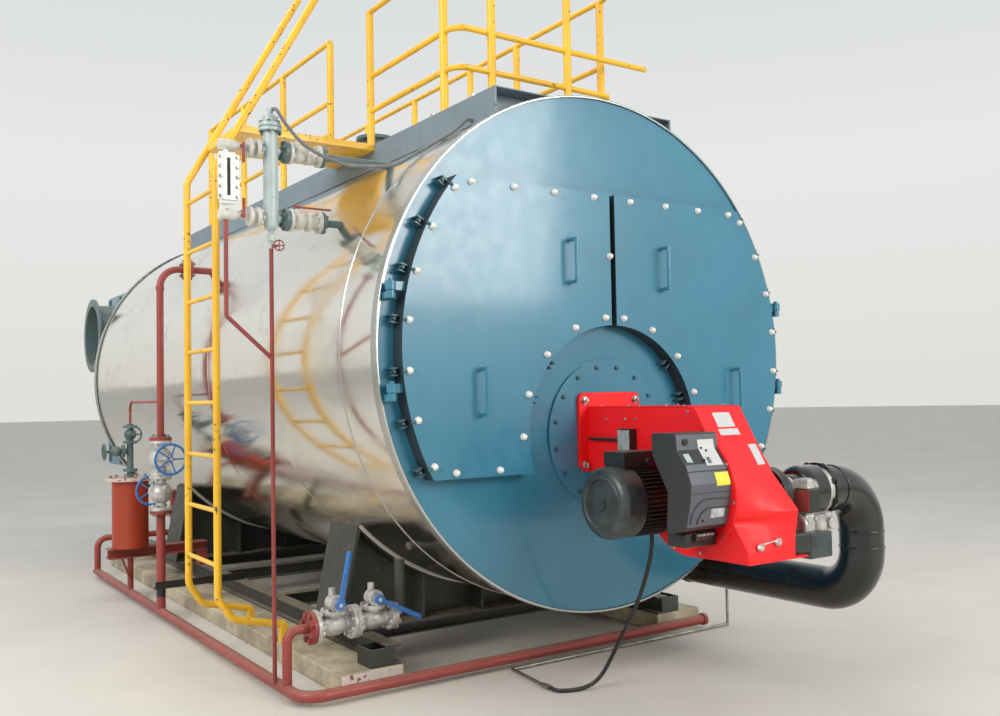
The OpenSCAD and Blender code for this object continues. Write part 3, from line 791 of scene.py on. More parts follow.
class Coats(Enum):
    """The finishes of this boiler, each with the record's slot that it belongs to."""

    CLADDING = (Sheet("rolled_cladding"), "cladding")
    RIM = (Sheet("bright_rim", (190, 192, 188), 0.26, 0.001, 0.5), "bright")
    TEAL = (Paint("teal_enamel", (48, 121, 147), 0.34, 0.62, 0.08, 0.04, 0.06, 0.00018), "teal")
    # teal enamel darkened as painted shade, for small teal parts that sit in shade
    TEAL_SHADE = (Paint("teal_painted_shade", (44, 84, 96), 0.36, 0.3, 0.3, 0.3, 0.08), "teal")
    TEAL_SIDE = (Paint("dark_door_edge", (40, 54, 60), 0.55, 0.05, 0.5, 0.3, 0.1), "dark")
    RED = (Paint("burner_red", (240, 3, 12), 0.55, 0.08, 0.03, 0.03, 0.04, 0.0001), "red")
    BLACK = (Paint("satin_black", (34, 33, 32), 0.42, 0.15, 0.4, 0.2, 0.15), "black")
    BEAM = (Paint("beam_black", (58, 60, 56), 0.5, 0.1, 0.9, 0.5, 0.2, chips=1.0), "black")
    PIPE_BLACK = (Paint("duct_black", (14, 15, 16), 0.24, 0.5, 0.18, 0.12, 0.2, 0.0005), "black")
    MOTOR = (Cast("motor_grey", (80, 86, 86), 0.36, 0.5), "dark")
    COVER = (Paint("cover_plastic", (44, 45, 45), 0.40, 0.1, 0.2, 0.1, 0.08, 0.0004), "plastic")
    COVER_FACE = (Paint("cover_face", (86, 90, 98), 0.36, 0.1, 0.2, 0.1, 0.06, 0.0003), "plastic")
    LABEL = (Paint("bare_label", (206, 208, 206), 0.35, 0.2, 0.2, 0.25, 0.04, 0.0001), "white")
    YELLOW = (Paint("rail_yellow", (246, 190, 40), 0.40, 0.25, 0.4, 0.35, 0.10, 0.0004, 1.2), "yellow")
    YELLOW_TAG = (Paint("yellow_tag", (240, 226, 60), 0.38, 0.2, 0.1, 0.15, 0.05, 0.0001), "yellow")
    REDBROWN = (Paint("red_oxide", (150, 62, 54), 0.46, 0.12, 0.45, 0.35, 0.16, 0.0006, 1.0), "redbrown")
    VESSEL = (Paint("vessel_orange_red", (170, 56, 26), 0.42, 0.15, 0.35, 0.35, 0.12, 0.0005, 1.0),
              "orange")
    PALE_LID = (Paint("worn_lid", (214, 186, 174), 0.50, 0.05, 0.4, 0.35, 0.12, 0.0005, 1.2), "orange")
    BLUE = (Paint("handle_blue", (40, 112, 184), 0.36, 0.3, 0.3, 0.25, 0.1, 0.0003, 0.6), "blue")
    GREEN = (Paint("green_grey", (92, 112, 110), 0.46, 0.15, 0.45, 0.35, 0.12, 0.0005, 0.8), "greygreen")
    COLUMN = (Paint("column_grey", (178, 194, 190), 0.40, 0.25, 0.4, 0.3, 0.10, 0.0005, 0.5), "greygreen")
    STEELGREY = (Paint("platform_grey", (112, 128, 138), 0.45, 0.15, 0.5, 0.3, 0.08, 0.0004, 0.6),
                 "steelgrey")
    CREAM = (Paint("valve_cream", (206, 204, 194), 0.42, 0.15, 0.35, 0.4, 0.08, 0.0006), "silver")
    WHITE = (Paint("gauge_white", (224, 226, 222), 0.34, 0.25, 0.2, 0.2, 0.05, 0.0002), "white")
    SILVER = (Cast("silver_valve", (216, 215, 210), 0.38, 0.55, 0.0007, 0.3), "silver")
    NUT = (Paint("cream_nut", (232, 230, 222), 0.30, 0.4, 0.15, 0.2, 0.05, 0.0002), "silver")
    CHROME = (Cast("plated_steel", (212, 212, 208), 0.20, 1.0, 0.0001, 0.15), "silver")
    ZINC = (Cast("zinc_bolt", (176, 174, 166), 0.36, 0.9, 0.0002, 0.35), "silver")
    FURNACE = (Cast("furnace_steel", (52, 48, 46), 0.7, 0.3, 0.001, 0.6), "furnace")
    CONCRETE = (Concrete("plinth_concrete"), "concrete")
    LIME = (Paint("lime_wash", (226, 214, 206), 0.70, 0.0, 0.5, 0.6, 0.12, 0.0012, 2.2, (150, 90, 80)),
            "concrete")
    HOSE = (Rubber("hose_rubber", (30, 29, 28), 0.5, 0.35), "hose")
    CABLE = (Rubber("cable_sheath", (112, 114, 114), 0.5, 0.3), "hose")
    GASKET = (Rubber("gasket_black", (24, 24, 24), 0.65, 0.2), "dark")
    GLASS = (Glass("sight_glass"), "white")


# pieces
BODY = "boiler"


def add_piece(name: str, patch: Patch, coat: Coats, body: str = BODY, replaces: tuple[str, ...] = (),
              bevel: float = 0.0, angle: float = 38.0, placed: bool = False,
              flat: bool = False) -> Object:
    """Puts a patch into the scene as one piece.

    Args:
        name: name of the piece.
        patch: its surface.
        coat: its finish.
        body: the body that carries it.
        replaces: nodes that it stands for.
        bevel: width of a bevel on its sharp edges, 0 for none.
        angle: edges sharper than this, in degrees, stay sharp.
        placed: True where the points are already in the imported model's frame.
        flat: True where flat faces are first merged into single ones.

    Returns:
        The piece's object, at the origin, with its place in its mesh.
    """
    points = patch.points if placed else patch.points + ORIGIN
    mesh = bpy.data.meshes.new(name)
    mesh.vertices.add(len(points))
    mesh.vertices.foreach_set("co", np.ascontiguousarray(points, np.float32).ravel())
    loops = np.concatenate([f.ravel() for f in patch.faces])
    sizes = np.concatenate([np.full(len(f), f.shape[1]) for f in patch.faces])
    mesh.loops.add(len(loops))
    mesh.loops.foreach_set("vertex_index", loops.astype(np.int32))
    mesh.polygons.add(len(sizes))
    mesh.polygons.foreach_set("loop_start", (np.cumsum(sizes) - sizes).astype(np.int32))
    mesh.update(calc_edges=True)
    mesh.validate()
    work = bmesh.new()
    work.from_mesh(mesh)
    bmesh.ops.remove_doubles(work, verts=work.verts, dist=2e-6)
    bmesh.ops.dissolve_degenerate(work, edges=work.edges, dist=1e-6)
    if flat:
        bmesh.ops.dissolve_limit(work, angle_limit=math.radians(0.6), verts=work.verts,
                                 edges=work.edges, delimit={"NORMAL"})
    bmesh.ops.recalc_face_normals(work, faces=work.faces)
    work.to_mesh(mesh)
    work.free()
    mesh.shade_smooth()
    mesh.set_sharp_from_angle(angle=math.radians(angle))
    piece = bpy.data.objects.new(name, mesh)
    bpy.context.scene.collection.objects.link(piece)
    finish, slot = coat.value
    mesh.materials.append(finish.material())
    if bevel:
        rounding = piece.modifiers.new("edges", "BEVEL")
        rounding.width, rounding.segments = bevel, 2
        rounding.limit_method, rounding.angle_limit = "ANGLE", math.radians(35)
    piece.modifiers.new("normals", "WEIGHTED_NORMAL").keep_sharp = not bevel
    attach(piece, body)
    if replaces:
        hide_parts(*replaces)
    log.info("%s: %d faces on %s", name, len(mesh.polygons), body)
    return piece


def read(items: object, name: str, kind: type = np.float32) -> Array:
    """Reads a value of three numbers from all items of a mesh.

    Args:
        items: The vertices or triangles.
        name: The value's name.
        kind: The kind of number.

    Returns:
        An array (n, 3).
    """
    values = np.empty(len(items) * 3, kind)
    items.foreach_get(name, values)
    return values.reshape(-1, 3)


def node_patch(node: str) -> Patch:
    """Reads a node's mesh.

    Args:
        node: name of the node.

    Returns:
        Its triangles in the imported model's frame.
    """
    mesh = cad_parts[node].data
    mesh.calc_loop_triangles()
    world = np.array(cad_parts[node].matrix_world)
    points = read(mesh.vertices, "co").astype(float) @ world[:3, :3].T + world[:3, 3]
    return Patch(points, [read(mesh.loop_triangles, "vertices", np.int32)])


def refined(node: str, coat: Coats, body: str = BODY, bevel: float = 0.002,
            angle: float = 34.0) -> Object:
    """Redraws a node with merged corners, single flat faces and broken edges.

    Args:
        node: the node that it stands for.
        coat: its finish.
        body: the body that carries it.
        bevel: width of the broken edges.
        angle: edges sharper than this stay sharp before the bevel.

    Returns:
        The piece, which has the node's name with _finished.
    """
    return add_piece(node + "_finished", node_patch(node), coat, body, (node,), bevel, angle,
                     placed=True, flat=True)


def refine_all(coat: Coats, bevel: float, *nodes: str, angle: float = 34.0) -> None:
    """Redraws several fixed nodes in one coat, with the same bevel and angle."""
    for node in nodes:
        refined(node, coat, bevel=bevel, angle=angle)


def tint(piece: Object, coat: Coats, mask: Array) -> None:
    """Gives some faces of a piece a second finish.

    Args:
        piece: the piece.
        coat: the second finish.
        mask: one truth value for each face.
    """
    piece.data.materials.append(coat.value[0].material())
    index = np.zeros(len(piece.data.polygons), np.int32)
    piece.data.polygons.foreach_get("material_index", index)
    index[mask] = len(piece.data.materials) - 1
    piece.data.polygons.foreach_set("material_index", index)


def face_data(piece: Object) -> tuple[Array, Array]:
    """Measures the faces of a piece.

    Args:
        piece: the piece.

    Returns:
        The middles, from the middle of the front plate, and the normals.
    """
    faces = piece.data.polygons
    return read(faces, "center") - ORIGIN, read(faces, "normal")


@dataclass
class Stage:
    """Camera, floor, world and lamps."""

    lens: float = 34.9007
    sensor: float = 36.0
    reach: float = 300.0
    eye: Point = (-3.33775, -3.90512, 1.47457)
    yaw: float = 0.5996979407
    pitch: float = 0.0402474456
    roll: float = -0.0179412184
    floor_rings: tuple[float, ...] = (0.001, 3, 6, 10, 18, 40, 90)
    floor_z: float = -0.0005
    strips: tuple = ((64, -3.6, 80), (88, -1.2, 100), (116, 1.6, 80))

    def place(self, name: str, data: ID, axes: list[Array], eye: Point) -> Object:
        """Puts a camera or a lamp into the scene.

        Args:
            name: its name.
            data: its data.
            axes: its x, y and z axes.
            eye: its place, from the middle of the front plate.

        Returns:
            The new object.
        """
        matrix = np.eye(4)
        matrix[:3, :3] = np.stack(axes, 1)
        matrix[:3, 3] = np.array(eye) + ORIGIN
        placed = bpy.data.objects.new(name, data)
        bpy.context.scene.collection.objects.link(placed)
        placed.matrix_world = Matrix(matrix.tolist())
        return placed

    def camera(self) -> None:
        """Creates the camera from its eye point, yaw, pitch and roll."""
        forward = np.array([math.sin(self.yaw) * math.cos(self.pitch),
                            math.cos(self.yaw) * math.cos(self.pitch), math.sin(self.pitch)])
        right = np.array([math.cos(self.yaw), -math.sin(self.yaw), 0.0])
        up = np.cross(right, forward)
        x = right * math.cos(self.roll) + up * math.sin(self.roll)
        y = -right * math.sin(self.roll) + up * math.cos(self.roll)
        data = bpy.data.cameras.new("camera")
        data.lens, data.sensor_width, data.clip_end = self.lens, self.sensor, self.reach
        bpy.context.scene.camera = self.place("camera", data, [x, y, -forward], self.eye)
        bpy.context.scene.view_settings.view_transform = "Standard"

    def floor(self) -> None:
        """Lays a wide round floor; rings get wider outward."""
        w = around(96)
        r = np.array(self.floor_rings)[:, None]
        flat = [r * np.cos(w), r * np.sin(w)]
        patch = grid(np.stack([*flat, np.full_like(flat[0], self.floor_z)], -1), False, True)
        mesh = bpy.data.meshes.new("floor")
        mesh.from_pydata(patch.points.tolist(), [], patch.faces[0][:, ::-1].tolist())
        ground = bpy.data.objects.new("floor", mesh)
        bpy.context.scene.collection.objects.link(ground)
        g = Graph("floor_paint")
        colour = g.blend(g.remap(g.noise(0.9, 6, 0.6), 0.3, 0.7), linear((214, 209, 199)),
                         linear((205, 200, 190)))
        mesh.materials.append(g.dress(Base_Color=colour, Roughness=0.62,
                                      Normal=g.bump(g.noise(60, 4, 0.6), 0.0006)))

    def world(self) -> None:
        """Makes the sky dome: a soft grey light, and a pale backdrop for the eye and for gloss."""
        world = bpy.data.worlds.new("studio")
        bpy.context.scene.world = world
        world.use_nodes = True
        sky = Tree(world.node_tree)
        place = sky.node("TexCoord").outputs["Generated"]
        ramp = sky.node("ValToRGB", i0=sky.node("SeparateXYZ", i0=place).outputs["Z"])
        stops = ramp.color_ramp.elements
        stops.new(0.22)
        for stop, height, colour in zip(stops, (0.0, 0.22, 0.75),
                                        ((224, 223, 218), (232, 233, 232), (190, 198, 204))):
            stop.position, stop.color = height, linear(colour)
        seen = sky.node("Background", i0=ramp.outputs[0]).outputs[0]
        lit = sky.node("Background", i0=linear((236, 240, 246)), i1=0.74).outputs[0]
        ray = sky.node("LightPath").outputs
        direct = sky.math("MAXIMUM", ray["Is Camera Ray"], ray["Is Glossy Ray"])
        direct = sky.math("MAXIMUM", direct, ray["Is Transmission Ray"])
        mix = sky.node("MixShader", i0=direct, i1=lit, i2=seen)
        sky.node("OutputWorld", i0=mix.outputs[0])

    def lamp(self, name: str, eye: Point, aim: Point, size: Pair, watts: float, colour: Colour) -> None:
        """Hangs one soft rectangular lamp.

        Args:
            name: name of the lamp.
            eye: where it hangs.
            aim: the point that it faces.
            size: its width and height.
            watts: its power.
            colour: its sRGB colour.
        """
        data = bpy.data.lights.new(name, "AREA")
        data.shape = "RECTANGLE"
        data.size, data.size_y, data.energy = *size, watts
        data.color = linear(colour)[:3]
        back = np.array(eye, float) - np.array(aim, float)
        back /= np.linalg.norm(back)
        side = np.cross((0.0, 1.0, 0.0) if abs(back[2]) > 0.95 else (0.0, 0.0, 1.0), back)
        side /= np.linalg.norm(side)
        self.place(name, data, [side, np.cross(back, side), back], eye)

    def lamps(self) -> None:
        """Hangs a broad front lamp high on the right, a left one, and strips along the shell."""
        self.lamp("front_lamp", (2.7, -7.2, 4.15), (-0.2, 0, 1.8), (4.0, 2.9), 360, (255, 252, 246))
        self.lamp("left_lamp", (-8.5, -1.5, 6.0), (-0.6, 2.2, 1.4), (5.0, 4.0), 420, (255, 253, 250))
        for number, x, watts in self.strips:
            self.lamp(f"strip_lamp_{number}", (x, 3, 6.8), (x, 3, 0), (9.5, 0.35), watts, (255,) * 3)

    def build(self) -> None:
        """Builds the stage."""
        self.camera()
        self.floor()
        self.world()
        self.lamps()


def spline(points: list[Point], steps: int = 4) -> Array:
    """A smooth curve through points (cubic, with each inner tangent half the step across it).

    Args:
        points: the points, in millimetres.
        steps: steps between two points.

    Returns:
        The curve's points in metres.
    """
    p = np.array(points, float) / 1000
    tangent = np.gradient(p, axis=0)
    t = np.linspace(0, 1, steps, endpoint=False)[None, :, None]
    a, b, ta, tb = p[:-1, None], p[1:, None], tangent[:-1, None], tangent[1:, None]
    line = ((2 * t ** 3 - 3 * t ** 2 + 1) * a + (t ** 3 - 2 * t ** 2 + t) * ta
            + (3 * t ** 2 - 2 * t ** 3) * b + (t ** 3 - t ** 2) * tb)
    return np.concatenate([line.reshape(-1, 3), p[-1:]])


@dataclass
class Cords:
    """The fuel hose to the burner and the sheathed probe cable over the shell."""

    hose: tuple = ((-375, 39.8, 14), (-375, 20, 14), (-374, 0, 13), (-360, -30, 12),
                   (-310, -55, 12), (-250, -70, 14), (-190, -80, 30), (-150, -100, 70),
                   (-130, -130, 130), (-125, -180, 210), (-135, -250, 300), (-150, -330, 400),
                   (-165, -410, 510), (-175, -470, 620), (-180, -505, 700), (-180, -520, 770),
                   (-180, -520, 818.8))
    cable: tuple = ((-1520, 759.7, 2958), (-1520, 744, 2958), (-1516, 730, 2952),
                    (-1508, 721, 2936), (-1480, 714, 2890), (-1440, 707, 2840), (-1400, 703, 2800),
                    (-1350, 703, 2768), (-1290, 704, 2742), (-1220, 703, 2722), (-1150, 690, 2704),
                    (-1060, 620, 2692), (-950, 524, 2692), (-860, 486, 2748), (-780, 452, 2801),
                    (-710, 380, 2852), (-672, 325, 2890), (-650, 303, 2915), (-630, 300, 2920),
                    (-610.2, 300, 2920))

    def cord(self, name: str, node: str, points: tuple, radius: float, coat: Coats) -> None:
        """Lays one cord.

        Args:
            name: name of the piece.
            node: the node that it stands for.
            points: its route in millimetres.
            radius: its radius.
            coat: its finish.
        """
        path = spline(list(points))
        piece = add_piece(name, tube(path, radius, 12), coat, replaces=(node,))

    def build(self) -> None:
        """Lays both cords."""
        self.cord("fuel_hose", "burner_hose", self.hose, 0.010, Coats.HOSE)
        self.cord("sheathed_probe_cable", "probe_cable", self.cable, 0.009, Coats.CABLE)


@dataclass
class Cladding:
    """Bright sheet over the shell: lapped sheets, riveted seams, linings and end rims."""

    seams: tuple[float, ...] = (1.33, 2.43, 3.53, 4.63)
    lap: float = 0.0018
    front_joint: float = 0.405
    pitch: int = 72
    rim_radii: Pair = (1.3392, 1.350)
    rim_front: Pair = (-0.012, 0.040)
    rim_rear: Pair = (SHELL_END + 0.012, SHELL_END - 0.040)
    rim_edge: float = 0.005
    sheet_ends: Pair = (0.025, 5.727)
    shell_inside: float = 1.240
    box_inside: float = 1.262
    lining: tuple[Pair, ...] = ((0.027, 1.240), (0.027, 1.2615), (0.378, 1.2615), (0.378, 1.240))

    def ring(self, profile: list[Pair], sides: int = 240) -> Patch:
        """A closed ring about the shell's axis, from pairs (place along it, radius)."""
        return lathe(profile, SHELL_AXIS, "y", sides, loop=True)

    def skin(self, start: float, end: float, seams: tuple[float, ...], inner: float) -> Patch:
        """A ring of lapped sheets: the radius grows by lap along a sheet, then drops at its seam.

        Args:
            start: front end along the shell.
            end: rear end.
            seams: places where a sheet ends over the next.
            inner: radius of the inside.

        Returns:
            The closed ring.
        """
        profile = [(start, inner), (start, SHELL_R)]
        for seam in seams:
            profile += [(seam - 0.020, SHELL_R + self.lap * 0.5), (seam - 0.0015, SHELL_R + self.lap),
                        (seam, SHELL_R)]
        return self.ring([*profile, (end, SHELL_R), (end, inner)])

    def rivets(self) -> Patch:
        """Blind rivets just in front of each seam, at equal steps around.

        Returns:
            The rivets as one patch.
        """
        dome = lathe([(0, 0.0042), (0.0008, 0.0040), (0.0016, 0.0024), (0.0019, 0.0)], FOOT, "z", 8)
        w = around(self.pitch)
        ring = np.stack([np.cos(w), np.zeros_like(w), np.sin(w)], -1)
        rows = [ring * (SHELL_R + self.lap * 0.5) + (0, seam - 0.010, AXIS_Z)
                for seam in (*self.seams, self.front_joint + 0.02)]
        return copies(dome, np.concatenate(rows), np.tile(ring, (len(rows), 1)))

    def bead(self, y: float) -> Patch:
        """A rolled stiffening bead around the shell: a half-round bow on a flat foot.

        Args:
            y: its middle along the shell.

        Returns:
            The closed ring.
        """
        low = SHELL_R - 0.004
        bow = arc((y, SHELL_R - 0.001), (-0.007, 0.005), 0, 180, 7)
        return self.ring([(y - 0.007, low), *bow, (y + 0.007, low)])

    def rim(self, front: float, back: float) -> Patch:
        """A rolled end rim whose outer corner is rounded at its face.

        Args:
            front: place of its face along the shell.
            back: place of its other end.

        Returns:
            The closed ring.
        """
        inner, outer = self.rim_radii
        r = self.rim_edge
        corner = arc((front + math.copysign(r, back - front), outer - r),
                     (math.copysign(r, front - back), r), 0, 90, 5)
        return self.ring([(front, inner), *corner, (back, outer), (back, inner)])

    def build(self) -> None:
        """Builds the sheets, seams, linings and rims."""
        first, last = self.sheet_ends
        shell = self.skin(self.front_joint, last, self.seams, self.shell_inside)
        add_piece("shell_cladding", shell, Coats.CLADDING, replaces=("shell",), angle=20)
        box = self.skin(first, self.front_joint, (), self.box_inside)
        add_piece("smokebox_cladding", box, Coats.CLADDING, replaces=("front_smokebox",), angle=20)
        add_piece("smokebox_lining", self.ring(self.lining, 160), Coats.FURNACE)
        add_piece("seam_rivets", self.rivets(), Coats.RIM)
        add_piece("joint_bead", self.bead(self.front_joint - 0.004), Coats.RIM, angle=20)
        rims = join([self.rim(*self.rim_front), self.rim(*self.rim_rear)])
        add_piece("rolled_rims", rims, Coats.RIM, replaces=("end_rims",), angle=50)


@dataclass
class FrontEnd:
    """Front plate, tube plate, furnace throat, burner ring, doors, clamps and hinges."""

    door_face: float = -0.085
    arc_radius: float = 1.224
    arc_step: float = 10.7
    arc_first: float = -26.2
    arc_last: float = 40.0
    door_edge: float = 1.2575
    ring_z: float = 1.280
    ring_radius: float = 0.598
    ring_angles: tuple[float, ...] = (84, 64, 42, 20, 0)
    top_row: tuple[float, ...] = (0.125, 0.380, 0.627, 0.872)
    top_z: float = 2.495
    low_row: Pair = (0.738, 0.982)
    low_z: float = 1.128
    split_nut: Pair = (-0.026, 2.196)
    nut: float = 0.0150
    lug_radius: float = 1.284
    handle_bar: float = 0.0098
    handle_bend: float = 0.020
    handle_y: Pair = (-0.082, -0.145)
    left_handles: tuple[Point, ...] = ((-0.290, 2.047, 2.262), (-0.838, 1.395, 1.610))
    right_handles: tuple[Point, ...] = ((0.342, 2.040, 2.262), (0.880, 1.395, 1.610))

    def arc_angles(self) -> Array:
        """Angles of the outer bolts above the horizontal, in degrees."""
        return np.arange(self.arc_first, self.arc_last, self.arc_step)

    def along_arc(self, part: Patch, side: int) -> Patch:
        """Puts a part, made at angle 0 on the right, at each outer bolt of one side (-1 or 1)."""
        parts = [part.turned(-float(angle), "Y", SHELL_AXIS) for angle in self.arc_angles()]
        return join(parts if side > 0 else [p.mirrored() for p in parts])

    def bolts(self, side: int) -> Patch:
        """The bolts of one door: outer arc, inner arc, top row and bottom row.

        Args:
            side: -1 for the left door, 1 for the right.

        Returns:
            Round-capped nuts on washers.
        """
        flat = []
        for degrees, z, r in ((self.arc_angles(), AXIS_Z, self.arc_radius),
                              (self.ring_angles, self.ring_z, self.ring_radius)):
            w = np.radians(degrees)
            flat += [*zip(r * np.cos(w), z + r * np.sin(w))]
        flat += [(x, self.top_z) for x in self.top_row] + [(x, self.low_z) for x in self.low_row]
        flat = [(side * x, z) for x, z in flat] + [self.split_nut] * (side < 0)
        return copies(dome_nut(self.nut), [(x, self.door_face, z) for x, z in flat], FRONT)

    def arms(self, side: int) -> Patch:
        """Round arms under the outer bolts of one door, which reach over its edge to the lugs."""
        arm = rod(1.226, 1.262, 0.0065, (0, self.door_face - 0.005, AXIS_Z), "x", 12, 0.001)
        return self.along_arc(arm, side)

    def handles(self, side: int) -> Patch:
        """Bent bar handles of one door, an upper and a lower one, with round feet.

        Args:
            side: -1 for the left door, 1 for the right.

        Returns:
            The handles with their feet.
        """
        parts = []
        foot, out = self.handle_y
        for x, z0, z1 in self.right_handles if side > 0 else self.left_handles:
            route = [(x, foot, z0), (x, out, z0), (x, out, z1), (x, foot, z1)]
            parts += [tube(smooth_path(route, self.handle_bend, 7), self.handle_bar, 16)]
            parts += [rod(-0.0900, -0.0845, 0.017, (x, 0, z), "y", 20, 0.002) for z in (z0, z1)]
        return join(parts)

    def swing_bolts(self, side: int) -> Patch:
        """Pins through the paired lugs, and swing bolts that stand between them, on one side.

        Args:
            side: -1 for the left, 1 for the right.

        Returns:
            The bolts of that side.
        """
        x = self.lug_radius
        nut = copies(hex_bolt(0.0045, stud=0.005), [(x, -0.052, AXIS_Z)], FRONT)
        pin = rod(-0.024, 0.024, 0.005, (x, -0.026, AXIS_Z), "z", 10, 0.001)
        stem = rod(-0.052, -0.010, 0.006, (x, 0, AXIS_Z), "y", 12, 0.001)
        return self.along_arc(join([pin, stem, nut]), side)

    def door(self, name: str, side: int) -> None:
        """Builds one door with dark side faces, its nuts, arms and handle bars.

        Args:
            name: the door's node.
            side: -1 for the left, 1 for the right.
        """
        body = f"{name}_leaf"
        leaf = refined(name, Coats.TEAL, body, 0.0018)
        middles, normals = face_data(leaf)
        panel = np.hypot(middles[:, 0], middles[:, 2] - AXIS_Z) < self.door_edge
        sides = (np.abs(normals[:, 1]) < 0.5) & (middles[:, 1] > self.door_face + 0.0001)
        tint(leaf, Coats.TEAL_SIDE, sides & panel)
        add_piece(f"{name}_dome_nuts", self.bolts(side), Coats.NUT, body, (f"{name}_bolts",))
        # the arms are in the teal enamel darkened as painted shade
        add_piece(f"{name}_arms", self.arms(side), Coats.TEAL_SHADE, body)
        add_piece(f"{name}_handle_bars", self.handles(side), Coats.TEAL, body)

    def build(self) -> None:
        """Builds the front end."""
        refine_all(Coats.TEAL, 0.0015, "front_plate", "rear_plate")
        refine_all(Coats.FURNACE, 0.0015, "tube_plate", "burner_throat")
        refine_all(Coats.TEAL, 0.0015, "burner_ring")
        # ring bolts in the teal enamel darkened as painted shade
        ring_bolts = bolt_circle((0, -0.014, 1.275), 0.350, 16, "y", 0.006, -1, 11.25)
        add_piece("burner_ring_bolts", ring_bolts, Coats.TEAL_SHADE)
        self.door("left_door", -1)
        self.door("right_door", 1)
        # door clamps in the teal enamel darkened as painted shade
        refine_all(Coats.TEAL_SHADE, 0.0012, "door_clamps")
        refine_all(Coats.TEAL, 0.0015, "hinge_brackets")
        # swing bolts in the teal enamel darkened as painted shade
        add_piece("swing_bolts", join([self.swing_bolts(-1), self.swing_bolts(1)]), Coats.TEAL_SHADE)


@dataclass
class Burner:
    """Red fan case with its flange, motor, control cover, switches and bare plates."""

    half: float = 0.150
    fan_y: float = -0.742
    fan_z: float = 1.027
    fan_r: float = 0.288
    slope_z: float = 1.289
    corner_z: float = 0.930
    motor_y: float = -0.520
    motor_z: float = 0.984
    cover_x: Pair = (-0.400, -0.1502)
    plate: float = 0.0015
    cover_face: tuple = ((0.873, 0.911, 1.020, 1.096, 1.173, 1.238, 1.306),
                         (-0.940, -0.970, -0.995, -1.003, -0.975, -0.926, -0.916))

    def front(self, x: Array | float, z: Array) -> Array:
        """Front of the case: y = (1 - t) left(z) + t right(z), with t from 0 to 1 across the case.

        The left outline is a slope, the fan's circle and the box's corner; the right one is all legs.

        Args:
            x: places across the case.
            z: heights.

        Returns:
            The y of the front there.
        """
        left = self.fan_y - np.sqrt(np.maximum(self.fan_r ** 2 - (z - self.fan_z) ** 2, 0.0))
        left = np.where(z > self.slope_z, -0.861 + (z - self.slope_z) * 75 / 126, left)
        box = np.interp(z, [0.742, 0.800, 0.905], [-1.080, -1.076, -1.0020])
        left = np.where(z < self.corner_z, box, left)
        right = np.interp(z, [0.742, 0.845, 0.957, 1.127, 1.412],
                          [-1.080, -1.086, -1.106, -0.955, -0.787])
        t = (np.asarray(x) + self.half) / (2 * self.half)
        return (1 - t) * left + t * right

    def case(self) -> Patch:
        """The fan case: its ruled front, then the round underside and the neck to the boiler.

        Returns:
            The closed case.
        """
        z = np.concatenate([np.linspace(1.415, self.slope_z, 6), np.linspace(1.277, 0.742, 46)])
        rest = np.array([*arc((self.fan_y, self.fan_z), (self.fan_r, self.fan_r), 270, 342, 12),
                         (-0.300, 1.085), (-0.034, 1.100), (-0.034, 1.415)])
        columns = []
        for x in np.linspace(-self.half, self.half, 9):
            outline = np.concatenate([np.stack([self.front(x, z), z], -1), rest])
            columns.append(np.concatenate([np.full((len(outline), 1), x), outline], 1))
        return grid(np.array(columns), False, True).capped(len(columns[0]))

    def boiler_flange(self) -> Patch:
        """The flange on the boiler, with round upper corners and cut lower ones.

        Returns:
            The closed plate.
        """
        corner = np.array(arc((0.172, 1.455), (0.035, 0.035), 0, 90, 7))
        outline = [(0.207, 1.115), *corner, *(corner[::-1] * (-1, 1)), (-0.207, 1.115), (-0.172, 1.086),
                   (0.172, 1.086)]
        return prism(outline, -0.036, -0.0141, "y")

    def fan_plates(self) -> Patch:
        """Rolled edge around the fan on the left flank, and a cover plate on the right one.

        Returns:
            Both rings as one patch.
        """
        ring = lathe([(-0.1495, 0.240), (-0.1560, 0.242), (-0.1585, 0.262), (-0.1585, 0.284),
                      (-0.1565, 0.2868), (-0.1495, 0.2868)], (0, self.fan_y, self.fan_z), "x", 96, True)
        plate = lathe([(0, 0.235), (0.003, 0.235), (0.005, 0.231), (0.005, 0.214), (0.002, 0.206),
                       (0.002, 0.05)], (self.half, self.fan_y, self.fan_z), "x", 72)
        return join([ring, plate])

    def screws(self) -> Patch:
        """Small screws on the left flank, around the fan and along the top edges.

        Returns:
            The screws as one patch.
        """
        fan = arc((self.fan_y, self.fan_z), (0.272, 0.272), 150, 290, 5)
        flank = [(-0.1585, y, z) for y, z in fan]
        flank += [(-0.1505, y, 1.355) for y in (-0.175, -0.320, -0.395)]
        top = [(x, y, 1.4185) for x in (-0.130, 0.130) for y in (-0.12, -0.32, -0.40, -0.58, -0.70)]
        screw = hex_bolt(0.0035)
        return join([copies(screw, [*flank, (-0.1505, -0.745, 1.392)], (-1.0, 0.0, 0.0)),
                     copies(screw, top, (0.0, 0.0, 1.0))])

    def cover_front(self, z: Array | float) -> Array:
        """The cover's front outline: y at heights z, as a bulging face under a sloping desk."""
        return np.interp(z, *self.cover_face)

    def plates(self, on_cover: bool, *rows: tuple[float, ...]) -> Patch:
        """Thin plates that follow the front of the case or of the control cover.

        Args:
            on_cover: True on the control cover, False on the case.
            *rows: left edge, right edge, lower edge, upper edge and how far the face stands out.

        Returns:
            The closed plates.
        """
        plates = []
        for left, right, low, high, lift in rows:
            z = np.linspace(low, high, 7)
            corners = []
            for x, out in ((left, lift), (right, lift), (right, -0.001), (left, -0.001)):
                y = self.cover_front(z) if on_cover else self.front(x, z)
                corners.append(np.stack([np.full(7, x), y - out, z], -1))
            plates.append(grid(np.stack(corners, 1), False, True).capped(4))
        return join(plates)

